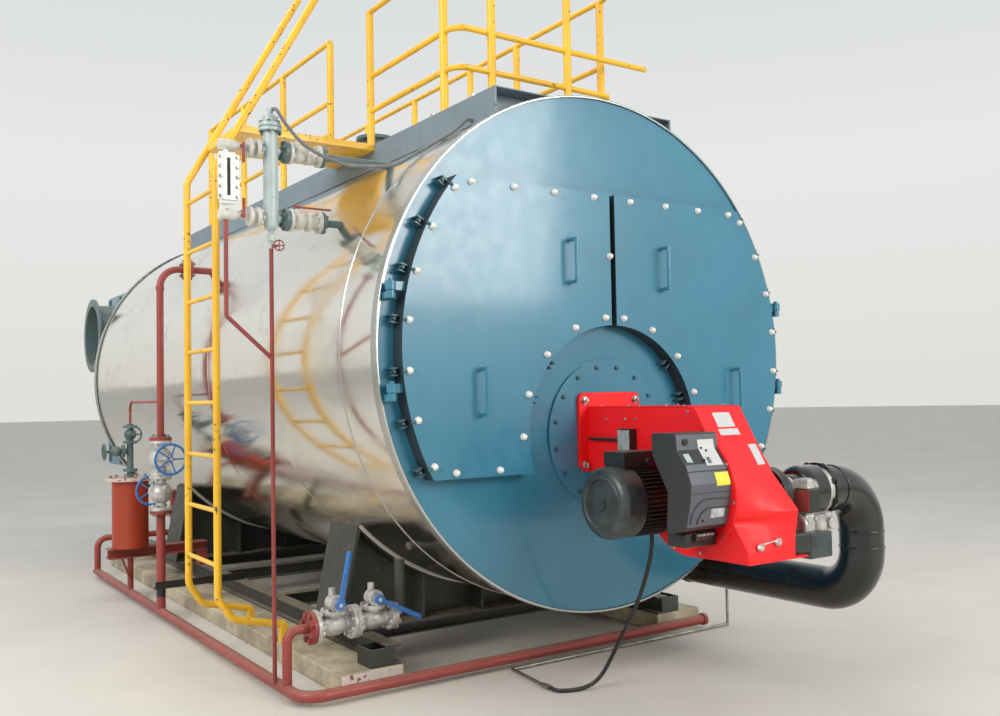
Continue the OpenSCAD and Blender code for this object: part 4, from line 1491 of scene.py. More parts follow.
    def knobs(self) -> Patch:
        """Two round damper knobs on the box with the link rod between them.

        Returns:
            The knobs and the rod.
        """
        knob = [(-0.014, 0.006), (-0.013, 0.012), (-0.006, 0.016), (0.0, 0.017)]
        link = np.array([(-0.072, -1.100, 0.828), (-0.02, -1.102, 0.834), (0.030, -1.100, 0.840)])
        return join([*(lathe(knob, (x, -1.081, z), "y", 20) for x, z in ((-0.078, 0.810), (0.034, 0.824))),
                     tube(link, 0.003, 8),
                     *(rod(-1.104, -1.084, 0.004, (x, 0, z), "y", 8, 0.0005)
                       for x, z in ((-0.072, 0.826), (0.030, 0.838)))])

    def motor(self) -> Patch:
        """The motor's smooth fan cowl with a pressed end and hub ring, its body and end shields.

        Returns:
            The closed motor.
        """
        end = [(-0.4925, 0.0), (-0.4925, 0.014), (-0.4895, 0.016), (-0.4895, 0.022), (-0.4940, 0.025),
               (-0.4940, 0.031), (-0.4835, 0.034), (-0.4800, 0.106), (-0.4880, 0.110), (-0.4905, 0.114),
               (-0.4900, 0.122)]
        dome = arc((-0.446, 0.126), (-0.040, 0.039), 0, 90, 8)
        body = [(-0.352, 0.165), (-0.350, 0.163), (-0.350, 0.140), (-0.186, 0.140), (-0.184, 0.164),
                (-0.164, 0.164), (-0.162, 0.138), (-0.1505, 0.138)]
        return lathe(end + dome + body, (0, self.motor_y, self.motor_z), "x", 64)

    def fins(self) -> Patch:
        """Cooling fins that run along the motor's body, evenly spaced around its shaft.

        Returns:
            The fins as one patch.
        """
        y, z = self.motor_y, self.motor_z
        fin = block((-0.349, y - 0.0016, z + 0.136), (-0.187, y + 0.0016, z + 0.1635), 0.0008, 1)
        return join([fin.turned(float(a), "X", (0, y, z)) for a in np.arange(26, 334, 7.5)])

    def motor_box(self) -> Patch:
        """The terminal box on the motor, with a lid, screws and a cable gland.

        Returns:
            The box as one patch.
        """
        y, z = self.motor_y, self.motor_z
        gland = [(-0.022, 0.016), (0, 0.016), (0.002, 0.012)]
        return join([
            blocks(((-0.400, y - 0.068, z + 0.150), (-0.185, y + 0.064, z + 0.205), 0.005, 3),
                   ((-0.4045, y - 0.0715, z + 0.203), (-0.181, y + 0.0675, z + 0.2305), 0.006, 3)),
            copies(hex_bolt(0.004), [(x, y - 0.0715, z + 0.218) for x in (-0.392, -0.193)], FRONT),
            lathe(gland, (-0.265, y - 0.068, z + 0.180), "y", 12)])

    def cover(self) -> Patch:
        """The cover: its side outline, with rounded corners, carried across its width.

        Returns:
            The closed cover.
        """
        corners = [(-0.765, 1.306), (-0.916, 1.306), (-0.924, 1.238), (-0.974, 1.174), (-1.004, 1.092),
                   (-0.995, 1.020), (-0.970, 0.911), (-0.948, 0.895), (-0.846, 0.874), (-0.858, 1.053),
                   (-0.770, 1.205)]
        middle = tuple((np.array(corners[-1]) + np.array(corners[0])) / 2)
        loop = smooth_path([(y, z, 0) for y, z in [middle, *corners, middle]], 0.014, 5)[:-1, :2]
        return prism(loop, *self.cover_x, "x")

    def cover_lines(self) -> Patch:
        """Raised trim on the cover's front: two quarter bows and two cross seams.

        Returns:
            The trim as one patch.
        """
        parts = []
        for inset in (0.0, 0.040):
            bow = smooth_path([(-0.384 + inset, 0, 0.925), (-0.384 + inset, 0, 1.030 - inset),
                               (-0.165, 0, 1.026 - inset)], 0.085 - inset * 0.5, 12)
            bow[:, 1] = self.cover_front(bow[:, 2]) - 0.001
            parts.append(tube(bow, 0.0035, 8))
        for z in (1.146, 1.054):
            seam = [(x, float(self.cover_front(z)) - 0.0005, z) for x in np.linspace(-0.396, -0.156, 6)]
            parts.append(tube(seam, 0.0022, 8))
        return join(parts)

    def buttons(self) -> Patch:
        """Small buttons and a round selector on the cover's desk.

        Returns:
            The buttons as one patch.
        """
        parts = []
        for x, z, r in ((-0.351, 1.268, 0.015), (-0.262, 1.240, 0.0055), (-0.240, 1.228, 0.0055),
                        (-0.283, 1.190, 0.0060), (-0.312, 0.936, 0.0050)):
            y = float(self.cover_front(z))
            parts.append(rod(y - 0.006, y + 0.004, r, (x, 0, z), "y", 18, 0.001))
        return join(parts)

    def build(self) -> None:
        """Builds the burner."""
        add_piece("fan_case", self.case(), Coats.RED, replaces=("burner_housing",), bevel=0.004, angle=30)
        tray = blocks(((-0.146, -1.0800, 0.7405), (0.239, -0.861, 0.7478), 0.001),
                      ((-0.146, -1.0808, 0.7405), (0.150, -1.0785, 0.7600), 0.001))
        lid = blocks(((-0.152, -0.755, 1.4152), (0.152, -0.036, 1.4180), 0.0012),
                     ((-0.1525, -0.758, 1.300), (-0.1500, -0.752, 1.4175), 0.0010))
        corners = [(x, -0.036, z) for x in (-0.172, 0.172) for z in (1.122, 1.450)]
        bracket = blocks(((-0.345, -0.905, 0.812), (-0.1505, -0.790, 0.874), 0.010, 3),
                         ((-0.300, -0.925, 0.840), (-0.200, -0.900, 0.872), 0.005))
        terminals = blocks(*(((x, -0.9285, 0.861), (x + 0.022, -0.9240, 0.8705), 0.001)
                             for x in (-0.292, -0.266, -0.240, -0.214)))
        add_piece("boiler_flange", self.boiler_flange(), Coats.RED, bevel=0.003)
        add_piece("fan_motor", self.motor(), Coats.MOTOR, replaces=("burner_motor",), angle=30)
        for name, patch, coat in (
                ("fan_case_tray", tray, Coats.RED), ("fan_edge_and_plate", self.fan_plates(), Coats.RED),
                ("burner_lid", lid, Coats.RED), ("burner_screws", self.screws(), Coats.CHROME),
                ("burner_flange_bolts", copies(hex_bolt(0.010, stud=0.010), corners, FRONT), Coats.CHROME),
                ("damper_knobs", self.knobs(), Coats.SILVER), ("motor_fins", self.fins(), Coats.MOTOR),
                ("motor_terminal_box", self.motor_box(), Coats.BLACK),
                ("cover_bracket", bracket, Coats.BLACK), ("cover_terminals", terminals, Coats.ZINC),
                ("cover_trim", self.cover_lines(), Coats.COVER),
                ("cover_buttons", self.buttons(), Coats.BLACK),
                ("switch_side", block((-0.1985, -0.396, 1.206), (-0.1945, -0.314, 1.304), 0.002),
                 Coats.SILVER)):
            add_piece(name, patch, coat)
        cover = add_piece("control_cover_shell", self.cover(), Coats.COVER, replaces=("control_cover",),
                          bevel=0.006, angle=24)
        tint(cover, Coats.COVER_FACE, face_data(cover)[1][:, 1] < -0.80)
        refined("burner_switches", Coats.BLACK, bevel=0.006)
        self.dress_plates()

    def dress_plates(self) -> None:
        """Puts bare plates on the case and the cover, with the cover's windows and key."""
        case = self.plates(False, (-0.058, 0.053, 1.321, 1.386, self.plate),
                           (-0.066, 0.061, 1.285, 1.313, self.plate),
                           (0.064, 0.126, 1.151, 1.241, self.plate))
        cover = self.plates(True, (-0.277, -0.180, 1.167, 1.276, self.plate))
        add_piece("bare_plates", join([case, cover]), Coats.LABEL)
        add_piece("yellow_tag", self.plates(True, (-0.248, -0.166, 1.081, 1.137, self.plate)),
                  Coats.YELLOW_TAG)
        add_piece("cover_windows", self.plates(True, (-0.383, -0.350, 1.183, 1.219, 0.001),
                                               (-0.268, -0.186, 0.945, 0.984, 0.001)), Coats.GLASS)
        add_piece("green_key", self.plates(True, (-0.262, -0.244, 1.178, 1.202, 0.004)), Coats.GREEN)


@dataclass
class GasTrain:
    """The short gas train beside the burner and the big black air duct that leaves it."""

    y: float = -0.880
    z: float = 1.004
    duct_x: float = 0.905
    duct_z: float = 0.459
    duct_end: Pair = (6.422, 0.860)
    duct_radius: float = 0.108
    duct_bend: float = 0.220
    joints: tuple[float, ...] = (0.3, 1.9, 3.5, 5.1)
    drops: Pair = (0.690, 0.770)

    @property
    def axis(self) -> Point:
        """A point on the valve's axis, which runs along X."""
        return (0, self.y, self.z)

    def silver(self) -> Patch:
        """The bright neck and the domed body of the valve, with the casting under it.

        Returns:
            The bright parts as one patch.
        """
        dome = arc((0.450, 0.082), (-0.050, 0.034), 0, 90, 7)
        x = 0.330
        elbow = smooth_path([(x, -0.985, 0.800), (x, -1.000, 0.870), (x, -0.960, 0.915)], 0.03, 7)
        return join([
            bars(self.axis, "x", (0.240, 0.340, 0.078, 40, 0.003), (0.300, 0.316, 0.088, 40, 0.003)),
            lathe([*dome, (0.556, 0.116), (0.560, 0.112)], self.axis, "x", 48),
            blocks(((0.300, -1.040, 1.0305), (0.352, -0.960, 1.074), 0.006, 3),
                   ((0.345, -0.985, 0.800), (0.555, -0.842, 0.912), 0.022, 4)),
            rod(1.028, 1.078, 0.032, (0.338, -0.998, 0), "z", 28, 0.008),
            rod(0.822, 0.905, 0.040, (0.450, -0.972, 0), "z", 28, 0.004),
            rod(-1.010, -0.960, 0.026, (0.515, 0, 0.858), "y", 20, 0.004),
            bolt_circle((0.450, -0.9855, 0.850), 0.052, 4, "y", 0.005, -1, 45),
            tube(elbow, 0.012, 12),
        ])

    def collars(self) -> Patch:
        """Joint rings around the duct: two at the valve, and more along its length.

        Returns:
            The rings as one patch.
        """
        along = [(y, y + 0.016, 0.114, 40, 0.004) for y in self.joints]
        down = [(z, z + 0.012, 0.112, 40, 0.004) for z in self.drops]
        return join([flange(0.560, 0.578, 0.128, self.axis, "x", 8, 0.008, 0.11, -1),
                     bars(self.axis, "x", (0.578, 0.600, 0.122, 48, 0.003),
                          (0.668, 0.682, 0.113, 40, 0.004)),
                     bars((self.duct_x, 0, self.duct_z), "y", *along),
                     bars((self.duct_x, self.y, 0), "z", *down)])

    def black_parts(self) -> Patch:
        """The black flange at the case, the drive's housing and the frame of the lower drive.

        Returns:
            The black parts as one patch.
        """
        return join([bars(self.axis, "x", (0.1502, 0.212, 0.085, 40, 0.003),
                          (0.219, 0.246, 0.125, 48, 0.004)),
                     flange(0.190, 0.218, 0.125, self.axis, "x", 8, 0.009, 0.09, -1),
                     blocks(((0.301, -1.050, 0.9235), (0.377, -0.942, 1.0305), 0.008, 3),
                            ((0.160, -1.0500, 0.762), (0.284, -1.044, 0.826), 0.003, 2))])

    def valve_hood(self) -> Patch:
        """The dark domed hood over the front half of the valve.

        Returns:
            The closed hood.
        """
        dome = arc((0.442, 0.086), (-0.050, 0.0345), 0, 90, 8)
        return lathe([(0.3395, 0.0), (0.3395, 0.074), (0.344, 0.080), *dome, (0.520, 0.1205),
                      (0.522, 0.117)], self.axis, "x", 56)

    def build(self) -> None:
        """Builds the gas train and the duct."""
        add_piece("gas_valve_body", self.silver(), Coats.SILVER, replaces=("gas_valve",))
        add_piece("gas_train_black_parts", self.black_parts(), Coats.BLACK)
        add_piece("gas_valve_hood", self.valve_hood(), Coats.PIPE_BLACK)
        # painted reflection: the drive's face toward the fan case is red-brown for the red the case throws
        # on it
        add_piece("drive_painted_red_reflection", block((0.2975, -1.046, 0.928), (0.3012, -0.960, 1.026), 0.0015),
                  Coats.REDBROWN)
        drives = blocks(((0.1505, -1.047, 0.7520), (0.299, -0.931, 0.828), 0.006, 3),
                        ((0.1505, -1.049, 0.826), (0.2995, -0.930, 0.8378), 0.004, 2),
                        ((0.304, -1.0445, 0.7135), (0.4605, -0.9255, 0.8315), 0.010, 3))
        add_piece("lower_drive", drives, Coats.MOTOR)
        add_piece("duct_collars", self.collars(), Coats.PIPE_BLACK)
        x, far = self.duct_x, self.duct_end[0]
        route = [(0.600, self.y, self.z), (x, self.y, self.z), (x, self.y, self.duct_z),
                 (x, far, self.duct_z), (x, *self.duct_end)]
        duct = tube(smooth_path(route, self.duct_bend, 13), self.duct_radius, 48)
        add_piece("air_duct", duct, Coats.PIPE_BLACK, replaces=("recirculation_pipe",), angle=60)


@dataclass
class Base:
    """Concrete plinths, beams and saddles."""

    saddle_fronts: Pair = (0.950, 4.015)
    wrap_radii: Pair = (1.3365, 1.3448)
    wrap_arc: Pair = (223.5, 316.5)
    wrap_y: Pair = (0.004, -0.0008)

    def edge_highlight(self, y: float) -> Patch:
        """A painted highlight: a pale strip on the front edge of a saddle's wrap plate, swept along an arc
        about the shell's axis.

        Args:
            y: front of the saddle.

        Returns:
            The closed strip.
        """
        w = np.radians(np.linspace(*self.wrap_arc, 64))
        ring = np.stack([np.cos(w), np.zeros(64), np.sin(w)], -1)
        inner, outer = self.wrap_radii
        back, front = (y + d for d in self.wrap_y)
        rows = [ring * r + (0, d, AXIS_Z) for r, d in ((inner, back), (inner, front), (outer, front),
                                                       (outer, back))]
        return grid(np.stack(rows, 1), False, True).capped(4)

    def build(self) -> None:
        """Redraws the base with broken edges."""
        refine_all(Coats.CONCRETE, 0.010, "plinths")
        add_piece("plinth_end_paint", block((-1.250, 0.5960, 0.030), (-0.906, 0.6000, 0.0925), 0.001),
                  Coats.LIME)
        refine_all(Coats.BEAM, 0.0015, "base_beams", "saddles")
        # painted highlight: pale strips on the saddles' front edges, in valve cream
        edges = join([self.edge_highlight(y) for y in self.saddle_fronts])
        add_piece("saddle_painted_highlights", edges, Coats.CREAM, angle=20)


@dataclass
class RearEnd:
    """Rear smokebox with clean-out doors, ribs and the flue outlet."""

    back: float = 6.739
    inset: float = 0.013
    low: float = 0.860
    high: float = 2.570
    flank: float = 0.999
    rib: float = 0.06
    door_x: Pair = (-0.5, 0.5)
    door_half: float = 0.36
    door_z: tuple[Pair, ...] = ((1.00, 1.64), (1.86, 2.42))
    bolt_x: tuple[float, ...] = (-0.335, -0.112, 0.112, 0.335)

    def frames(self) -> Patch:
        """Flat ribs along the edges of the back and the flanks.

        Returns:
            The ribs as one patch.
        """
        low, high, back, out = self.low, self.high, self.back, self.flank + 0.011
        level = [((-1.006, back - 0.001, z), (1.006, back + 0.008, z + self.rib), 0.002)
                 for z in (low + 0.03, 1.715, high - 0.09)]
        upright = [((side * self.flank, y, low + 0.02), (side * out, y + self.rib, high - 0.02), 0.002)
                   for side in (-1, 1) for y in (5.82, 6.22, 6.66)]
        return blocks(*level, *upright)

    def set_in(self, box: Object) -> None:
        """Moves the back wall of the smokebox in, so that its doors end at the real length.

        Args:
            box: the smokebox.
        """
        points = read(box.data.vertices, "co")
        points[points[:, 1] > points[:, 1].max() - 1e-4, 1] -= self.inset
        box.data.vertices.foreach_set("co", points.ravel())
        box.data.update()

    def doors(self) -> Patch:
        """Four flat clean-out doors on the back, each held by eight bolts.

        Returns:
            The doors with their bolts.
        """
        parts = []
        face = self.back + 0.005
        for x, (z0, z1) in product(self.door_x, self.door_z):
            places = [(x + a, face, z) for a in self.bolt_x for z in (z0 + 0.025, z1 - 0.025)]
            low, high = (x - self.door_half, self.back - 0.002, z0), (x + self.door_half, face, z1)
            parts += [block(low, high, 0.002), copies(hex_bolt(0.0038, 2.2), places, (0.0, 1.0, 0.0))]
        return join(parts)

    def build(self) -> None:
        """Builds the rear end."""
        self.set_in(refined("rear_smokebox", Coats.TEAL, bevel=0.004))
        # rear ribs in the teal enamel darkened as painted shade
        add_piece("rear_frames", self.frames(), Coats.TEAL_SHADE)
        add_piece("clean_out_doors", self.doors(), Coats.TEAL)
        refine_all(Coats.GREEN, 0.002, "flue_outlet")


@dataclass
class FeedLine:
    """Feed pipe, two globe valves with wheels, the condensate vessel and its frame."""

    y: float = 2.958
    upper: float = 1.098
    lower: float = 0.858
    valve_end: float = 0.1198
    vessel: Pair = (SIDE_X, 3.800)
    black_below: float = 0.260
    pale_above: float = 0.90
    red_above: float = 1.322

    def valve(self, z: float, side: int) -> Patch:
        """A flanged globe valve: round body, bonnet flange, yoke and spindle.

        Args:
            z: height of its centre.
            side: -1 where its bonnet faces -Y, 1 where it faces +Y.

        Returns:
            The valve.
        """
        c, h = (SIDE_X, self.y, z), self.valve_end
        spindle = [(side * a, side * b, *more) for a, b, *more in (
            (0.060, 0.085, 0.044, 28), (0.108, 0.128, 0.026, 20), (0.128, 0.262, 0.0099, 16, 0.001),
            (0.180, 0.204, 0.022, 20))]
        parts = [lathe(arc((0, 0), (0.076, 0.076), 180, 0, 13), c, "z", 32), rod(-h, h, 0.036, c, "z", 24),
                 flanges(c, "z", (h - 0.022, h, 0.075, 4, 0.008, 0.04, -1),
                         (-h, -h + 0.022, 0.075, 4, 0.008, 0.04, 1)),
                 bars(c, "y", *spindle),
                 flange(side * 0.085, side * 0.108, 0.058, c, "y", 6, 0.006, 0.03, side)]
        for s in (-1, 1):
            arm = [(s * x, side * y, 0) for x, y in ((0.034, 0.106), (0.036, 0.150), (0.030, 0.175),
                                                     (0.014, 0.190))]
            parts.append(tube(np.array([c]) + np.array(arm), 0.008, 8))
        return join(parts)

    def build(self) -> None:
        """Builds the feed line."""
        pipe = refined("feed_pipe", Coats.REDBROWN, bevel=0.0012)
        tint(pipe, Coats.BLACK, face_data(pipe)[0][:, 2] < self.black_below)
        nuts = [bolt_circle((x, self.y, z), 0.056, 4, axis, 0.008, side, 45, 0.006)
                for x, z, axis, side in ((SIDE_X, 1.240, "z", 1), (SIDE_X, 0.716, "z", -1),
                                         (-1.330, 2.410, "x", -1), (-1.282, 2.410, "x", 1))]
        add_piece("feed_flange_bolts", join(nuts), Coats.ZINC)
        valves = join([self.valve(self.upper, -1), self.valve(self.lower, 1)])
        add_piece("globe_valves", valves, Coats.SILVER, replaces=("feed_valves",))
        for place in ("upper", "lower"):
            refined(f"feed_wheel_{place}", Coats.BLUE, f"wheel_{place}", 0.001)
        vessel = refined("feed_vessel", Coats.VESSEL, bevel=0.004)
        middles, normals = face_data(vessel)
        tint(vessel, Coats.PALE_LID, (normals[:, 2] > 0.5) & (middles[:, 2] > self.pale_above))
        lid = rod(0.892, 0.9165, 0.1765, (*self.vessel, 0), "z", 56, 0.003)
        add_piece("vessel_lid", lid, Coats.PALE_LID)
        bolts = bolt_circle((*self.vessel, 0.915), 0.148, 12, "z", 0.007, 1, 0, 0.004)
        add_piece("vessel_lid_bolts", bolts, Coats.ZINC)
        refine_all(Coats.REDBROWN, 0.002, "vessel_frame")
        piping = refined("vessel_piping", Coats.GREEN, bevel=0.0008)
        tint(piping, Coats.REDBROWN, face_data(piping)[0][:, 2] > self.red_above)


@dataclass
class Blowdown:
    """Floor pipes and the two blow-down ball valves with their levers."""

    y: float = 0.700
    z: float = 0.335
    stem_z: float = 0.445
    lever_y: float = 0.615
    valves: tuple = (("a", -1.245, 0.085, 78), ("b", -1.025, 0.070, -27))

    def valve(self, x: float, last: float) -> Patch:
        """A flanged ball valve along X: barrel, bonnet flange with bolts, gland drum, stem and plug.

        Args:
            x: middle of the valve.
            last: radius of its rear flange.

        Returns:
            The valve.
        """
        c = (x, self.y, self.z)
        return join([
            lathe(arc((0, 0.022), (0.066, 0.034), 165.6, 14.4, 15), c, "x", 36),
            rod(-0.090, 0.086, 0.040, c, "x", 28, 0.002),
            flanges(c, "x", (-0.1127, -0.089, 0.085, 8, 0.008, 0.046, 1),
                    (0.085, 0.107, last, 8, 0.007, 0.046, -1)),
            rod(0.036, 0.052, 0.044, c, "z", 28, 0.003),
            flange(0.052, 0.074, 0.066, c, "z", 6, 0.006, 0.03, 1),
            bars((x, self.y, self.stem_z), "y", (-0.052, 0.018, 0.043, 32, 0.006),
                 (-0.056, -0.050, 0.034, 32, 0.002), (-0.097, 0.0, 0.0098, 16, 0.001),
                 (-0.074, -0.054, 0.020, 20, 0.002)),
            rod(0.148, 0.188, 0.018, (x - 0.012, self.y - 0.012, self.z), "z", 20, 0.004),
        ])

    def ends(self) -> Patch:
        """The red-brown elbow and counter flange at the outer end, with nuts.

        Returns:
            The elbow and the flange.
        """
        elbow = [(SIDE_X, self.y, 0.275), (SIDE_X, self.y, self.z), (-1.380, self.y, self.z)]
        return join([tube(smooth_path(elbow, 0.055, 9), 0.024, 20),
                     flange(-1.380, -1.3582, 0.085, (0, self.y, self.z), "x", 8, 0.008, 0.046, -1)])

    def riser(self) -> Patch:
        """The pipe from the inner valve up to the shell; it is coated black as painted shade."""
        route = [(-0.902, self.y, self.z), (-0.862, self.y, self.z), (-0.862, self.y, 0.625)]
        return tube(smooth_path(route, 0.035, 7), 0.028, 20)

    def sleeve(self, x: float, angle: float) -> Patch:
        """A short sleeve on the outer end of a lever.

        Args:
            x: the lever's stem.
            angle: how far the lever dips, in degrees.

        Returns:
            The sleeve.
        """
        hub = (x, self.lever_y, self.stem_z)
        profile = [(0.150, 0.006), (0.152, 0.0135), (0.262, 0.0145), (0.268, 0.012), (0.270, 0.004)]
        return lathe(profile, hub, "x", 16).turned(-angle, "Y", hub)

    def build(self) -> None:
        """Builds the blow-down group."""
        refine_all(Coats.REDBROWN, 0.0008, "floor_pipes")
        add_piece("blowdown_valve_bodies", join([self.valve(x, last) for _, x, last, _ in self.valves]),
                  Coats.SILVER, replaces=("blowdown_valves",))
        add_piece("blowdown_pipe_ends", self.ends(), Coats.REDBROWN)
        # painted shade: the riser is coated beam black so it sits dark in the shade behind the valves
        add_piece("blowdown_riser", self.riser(), Coats.BEAM)
        counter = flange(-0.9177, -0.900, 0.070, (0, self.y, self.z), "x", 8, 0.007, 0.046, 1)
        add_piece("inner_counter_flange", counter, Coats.SILVER)
        for letter, x, _, angle in self.valves:
            body = f"lever_{letter}"
            refined(f"blowdown_{body}", Coats.BLUE, body, 0.002)
            add_piece(f"{body}_sleeve", self.sleeve(x, angle), Coats.BLUE, body)


@dataclass
class LevelGroup:
    """Level column, its cocks, the gauge glass and the red lever."""

    x: float = -1.520
    y: float = 0.800
    heights: Pair = (2.405, 2.755)
    gauge_x: float = -1.756
    cable_z: float = 2.958

    def isolating_valve(self, z: float, stem: float) -> Patch:
        """The flanged cock between the column and the shell, with bonnet and stem.

        Args:
            z: height of its centre.
            stem: how far its stem stands above its centre.

        Returns:
            The valve in cream, without the green flange at the column.
        """
        c = (0, self.y, z)
        return join([
            flanges(c, "x", (-1.4275, -1.410, 0.058, 6, 0.006, 0.03, 1),
                    (-1.268, -1.2525, 0.058, 6, 0.006, 0.03, -1)),
            lathe(arc((-1.370, 0.014), (0.036, 0.034), 162, 18, 11), c, "x", 28),
            bars(c, "x", (-1.411, -1.328, 0.033, 28, 0.002), (-1.330, -1.312, 0.052, 32, 0.003),
                 (-1.313, -1.262, 0.036, 28, 0.003)),
            bars((-1.380, self.y, z), "z", (0.030, 0.056, 0.024, 20, 0.002),
                 (0.056, stem, 0.0078, 12, 0.001)),
        ])

    def green_ends(self, z: float, end: float) -> Patch:
        """Green flanges at both ends of a cock and the pipe into the shell.

        Args:
            z: height of the cock.
            end: where the pipe ends along X.

        Returns:
            The flanges and the pipe.
        """
        c = (0, self.y, z)
        return join([flanges(c, "x", (-1.4517, -1.4283, 0.058, 6, 0.006, 0.03, -1),
                             (-1.252, -1.234, 0.058, 6, 0.006, 0.03, 1)),
                     bars(c, "x", (-1.472, -1.450, 0.020, 20, 0.002), (-1.236, end, 0.020, 20, 0.002))])

    def gauge_cock(self, z: float, up: int) -> Patch:
        """A gauge cock: flange at the column, neck, round body and end plug.

        Args:
            z: height of its centre.
            up: 1 for the upper one, -1 for the lower.

        Returns:
            The cock.
        """
        c = (0, self.y, z)
        return join([
            flange(-1.600, -1.581, 0.050, c, "x", 4, 0.006, 0.022, 1),
            bars(c, "x", (-1.583, -1.5685, 0.020, 20), (-1.640, -1.622, 0.050, 32, 0.003),
                 (-1.624, -1.598, 0.024, 20, 0.002), (-1.702, -1.638, 0.018, 20, 0.002),
                 (-1.789, -1.702, 0.027, 24, 0.004), (-1.745, -1.720, 0.0285, 6, 0.002)),
            rod(up * -0.030, up * 0.012, 0.020, (-1.768, self.y, z), "z", 20, 0.002),
        ])

    def red_fittings(self) -> Patch:
        """Red handles on the gauge cocks and the drain cock with its small wheel under the column.

        Returns:
            The handles and the drain cock.
        """
        parts = []
        for z, up in zip(self.heights, (-1, 1)):
            x, y = -1.672, self.y - 0.030
            parts += [rod(0.002, 0.024, 0.012, (x, y, z), "y", 14, 0.002),
                      rod(-up * 0.085, up * 0.015, 0.0075, (x, y, z), "z", 12, 0.002)]
        x, y, z = hub = (-1.498, self.y - 0.052, 2.262)
        ring = lathe([(-0.004, 0.026), (0.0, 0.0225), (0.004, 0.026), (0.0, 0.0295)], hub, "y", 28, True)
        spokes = [rod(-0.025, 0.025, 0.003, hub, axis, 8, 0.0005) for axis in ("x", "z")]
        return join([*parts, ring, *spokes, rod(-0.052, -0.010, 0.004, (x, self.y, z), "y", 10, 0.0005),
                     rod(self.x, x, 0.008, (0, self.y - 0.012, z), "x", 12, 0.001)])

    def column(self) -> Patch:
        """The column: round foot, bolted head flange, cap with a cable gland, side stubs and drain.

        Returns:
            The column as one patch.
        """
        c = (self.x, self.y, 0)
        foot = arc((2.375, 0), (-0.038, 0.038), 0, 90, 7)
        cap = arc((2.922, 0.002), (0.020, 0.039), 90, 0, 7)
        return join([
            lathe([*foot, (2.852, 0.038)], c, "z", 36), lathe([(2.893, 0.041), *cap], c, "z", 36),
            bars(c, "z", (2.850, 2.870, 0.060, 36, 0.003), (2.872, 2.893, 0.060, 36, 0.003),
                 (2.938, 2.972, 0.017, 20, 0.003), (2.250, 2.345, 0.013, 20, 0.002),
                 (2.287, 2.323, 0.022, 6, 0.002)),
            rod(0.7605, 0.800, 0.0125, (self.x, 0, self.cable_z), "y", 16, 0.002),
            *(rod(-0.048, 0.048, 0.020, (self.x, self.y, z), "x", 24, 0.002) for z in self.heights)])

    def gauge_body(self) -> Patch:
        """The gauge's body between the cocks, and its bolted cover frame.

        Returns:
            The gauge as one patch.
        """
        x, y = self.gauge_x, self.y
        return join([blocks(((x - 0.052, y - 0.055, 2.468), (x + 0.056, y - 0.0405, 2.698), 0.004, 3),
                            ((x - 0.038, y - 0.041, 2.452), (x + 0.042, y - 0.014, 2.712), 0.006, 3)),
                     rod(2.433, 2.727, 0.016, (x, y - 0.006, 0), "z", 20, 0.002)])

    def gauge_screws(self) -> Patch:
        """Two rows of five screws on the gauge."""
        places = [(x, self.y - 0.055, z) for x in (-1.796, -1.712) for z in np.linspace(2.485, 2.681, 5)]
        return copies(hex_bolt(0.0048), places, FRONT)

    def build(self) -> None:
        """Builds the level group."""
        low, high = self.heights
        cocks = [self.isolating_valve(low, 0.066), self.isolating_valve(high, 0.088),
                 self.gauge_cock(low, -1), self.gauge_cock(high, 1)]
        add_piece("water_column", self.column(), Coats.COLUMN, replaces=("level_column",))
        add_piece("column_cocks", join(cocks), Coats.CREAM, replaces=("level_valves",))
        add_piece("column_pipe_ends", join([self.green_ends(low, -1.108), self.green_ends(high, -0.824)]),
                  Coats.GREEN)
        add_piece("gauge_body", self.gauge_body(), Coats.WHITE, replaces=("level_gauge",))
        slot = block((-1.764, self.y - 0.0566, 2.490), (-1.748, self.y - 0.0545, 2.678), 0.001)
        add_piece("gauge_slot", slot, Coats.GASKET)
        add_piece("gauge_screws", self.gauge_screws(), Coats.ZINC)
        add_piece("gauge_handles", self.red_fittings(), Coats.REDBROWN)
        refined("gauge_lever", Coats.REDBROWN, "gauge_lever_body", 0.0015)
        bolts = [bolt_circle((self.x, self.y, z), 0.050, 6, "z", 0.005, side, 0, 0.003)
                 for z, side in ((2.893, 1), (2.850, -1))]
        add_piece("column_bolts", join(bolts), Coats.GREEN)


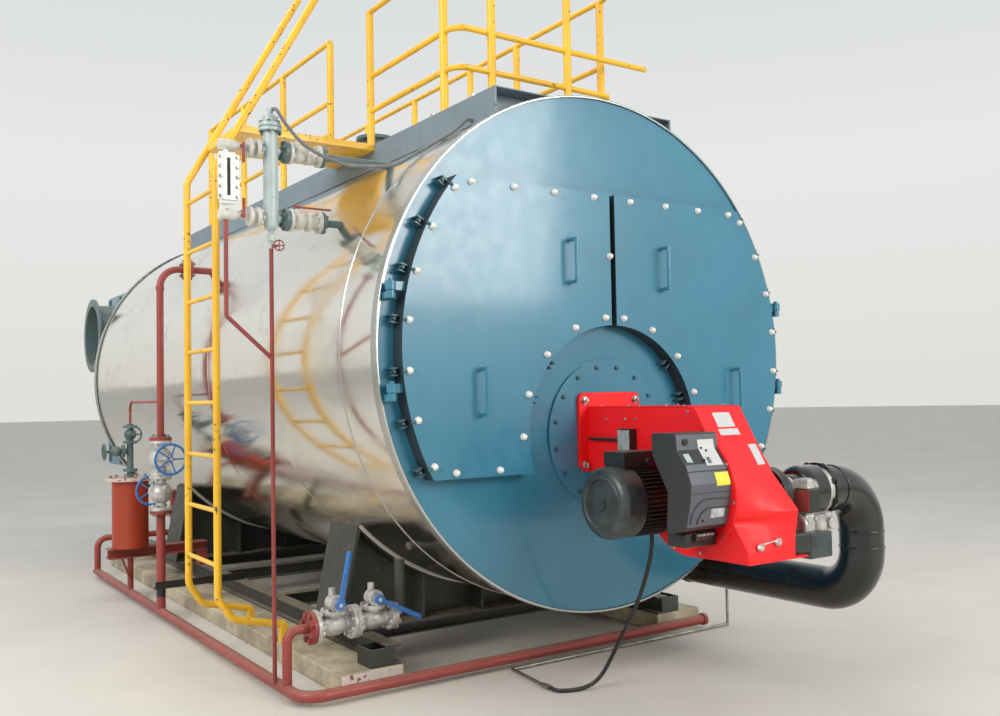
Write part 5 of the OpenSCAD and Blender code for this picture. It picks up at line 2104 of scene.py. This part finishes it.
@dataclass
class Access:
    """Ladder, platform and railings."""

    ladder_x: float = -1.600
    ladder_y: Pair = (1.430, 1.965)
    deck_z: float = 3.050
    first_rung: float = 0.572
    rung_step: float = 0.3
    rungs: int = 8
    stringer: float = 0.021
    bow_x: Pair = (0.570, 0.440)
    bow_y: Pair = (0.650, 0.524)
    bows: tuple[Pair, ...] = ((-1, 0.240), (-1, 0.460), (-1, 0.875), (1, 0.240), (1, 0.875))

    def ladder(self) -> Patch:
        """Two bent stringers with their feet and plates, eight rungs and the landing plate.

        Returns:
            The ladder as one patch.
        """
        x, deck = self.ladder_x, self.deck_z
        front, back = self.ladder_y
        parts = []
        for y in self.ladder_y:
            route = [(-0.870, y, deck + 1.040), (x, y, deck - 0.250), (x, y, 0.395),
                     (x + 0.080, y, 0.270), (-1.222, y, 0.200)]
            parts += [tube(smooth_path(route, 0.085, 9), self.stringer, 24),
                      block((-1.245, y - 0.024, 0.100), (-1.205, y + 0.024, 0.205), 0.003)]
        parts += [rod(front, back, 0.013, (x, 0, self.first_rung + self.rung_step * i), "y", 20)
                  for i in range(self.rungs)]
        parts.append(block((x + 0.125, front - 0.010, deck - 0.040), (-0.610, back + 0.010, deck), 0.002))
        return join(parts)

    def corner_bows(self) -> Patch:
        """Curved rails which carry the side rails round the front corners of the platform.

        Returns:
            The rails as one patch.
        """
        parts = []
        for side, height in self.bows:
            (x0, x1), (y0, y1), z = self.bow_x, self.bow_y, self.deck_z + height
            route = [(side * x0, y0, z), (side * x0, y1, z), (side * x1, y1, z)]
            parts.append(tube(smooth_path(route, 0.100, 10), 0.0172, 16))
        return join(parts)

    def build(self) -> None:
        """Builds the access steelwork."""
        add_piece("bent_ladder", self.ladder(), Coats.YELLOW, replaces=("ladder",))
        add_piece("railing_corner_bows", self.corner_bows(), Coats.YELLOW)
        refine_all(Coats.STEELGREY, 0.001, "platform_deck")
        refine_all(Coats.STEELGREY, 0.0015, "platform_beams")
        refine_all(Coats.YELLOW, 0.0, "left_railing", "front_railing", "right_railing", angle=40)
        refine_all(Coats.GREEN, 0.003, "steam_valve")
        refine_all(Coats.SILVER, 0.002, "safety_valves")
        refine_all(Coats.ZINC, 0.0, "pilot_line", angle=40)


def main() -> None:
    """Builds every group in order."""
    logging.basicConfig(level=logging.INFO, format="%(name)s %(message)s")
    for group in (Stage(), Cords(), Cladding(), FrontEnd(), Burner(), GasTrain(), Base(), RearEnd(),
                  FeedLine(), Blowdown(), LevelGroup(), Access()):
        group.build()
        log.info("finished %s", type(group).__name__)


if __name__ == "__main__":
    main()
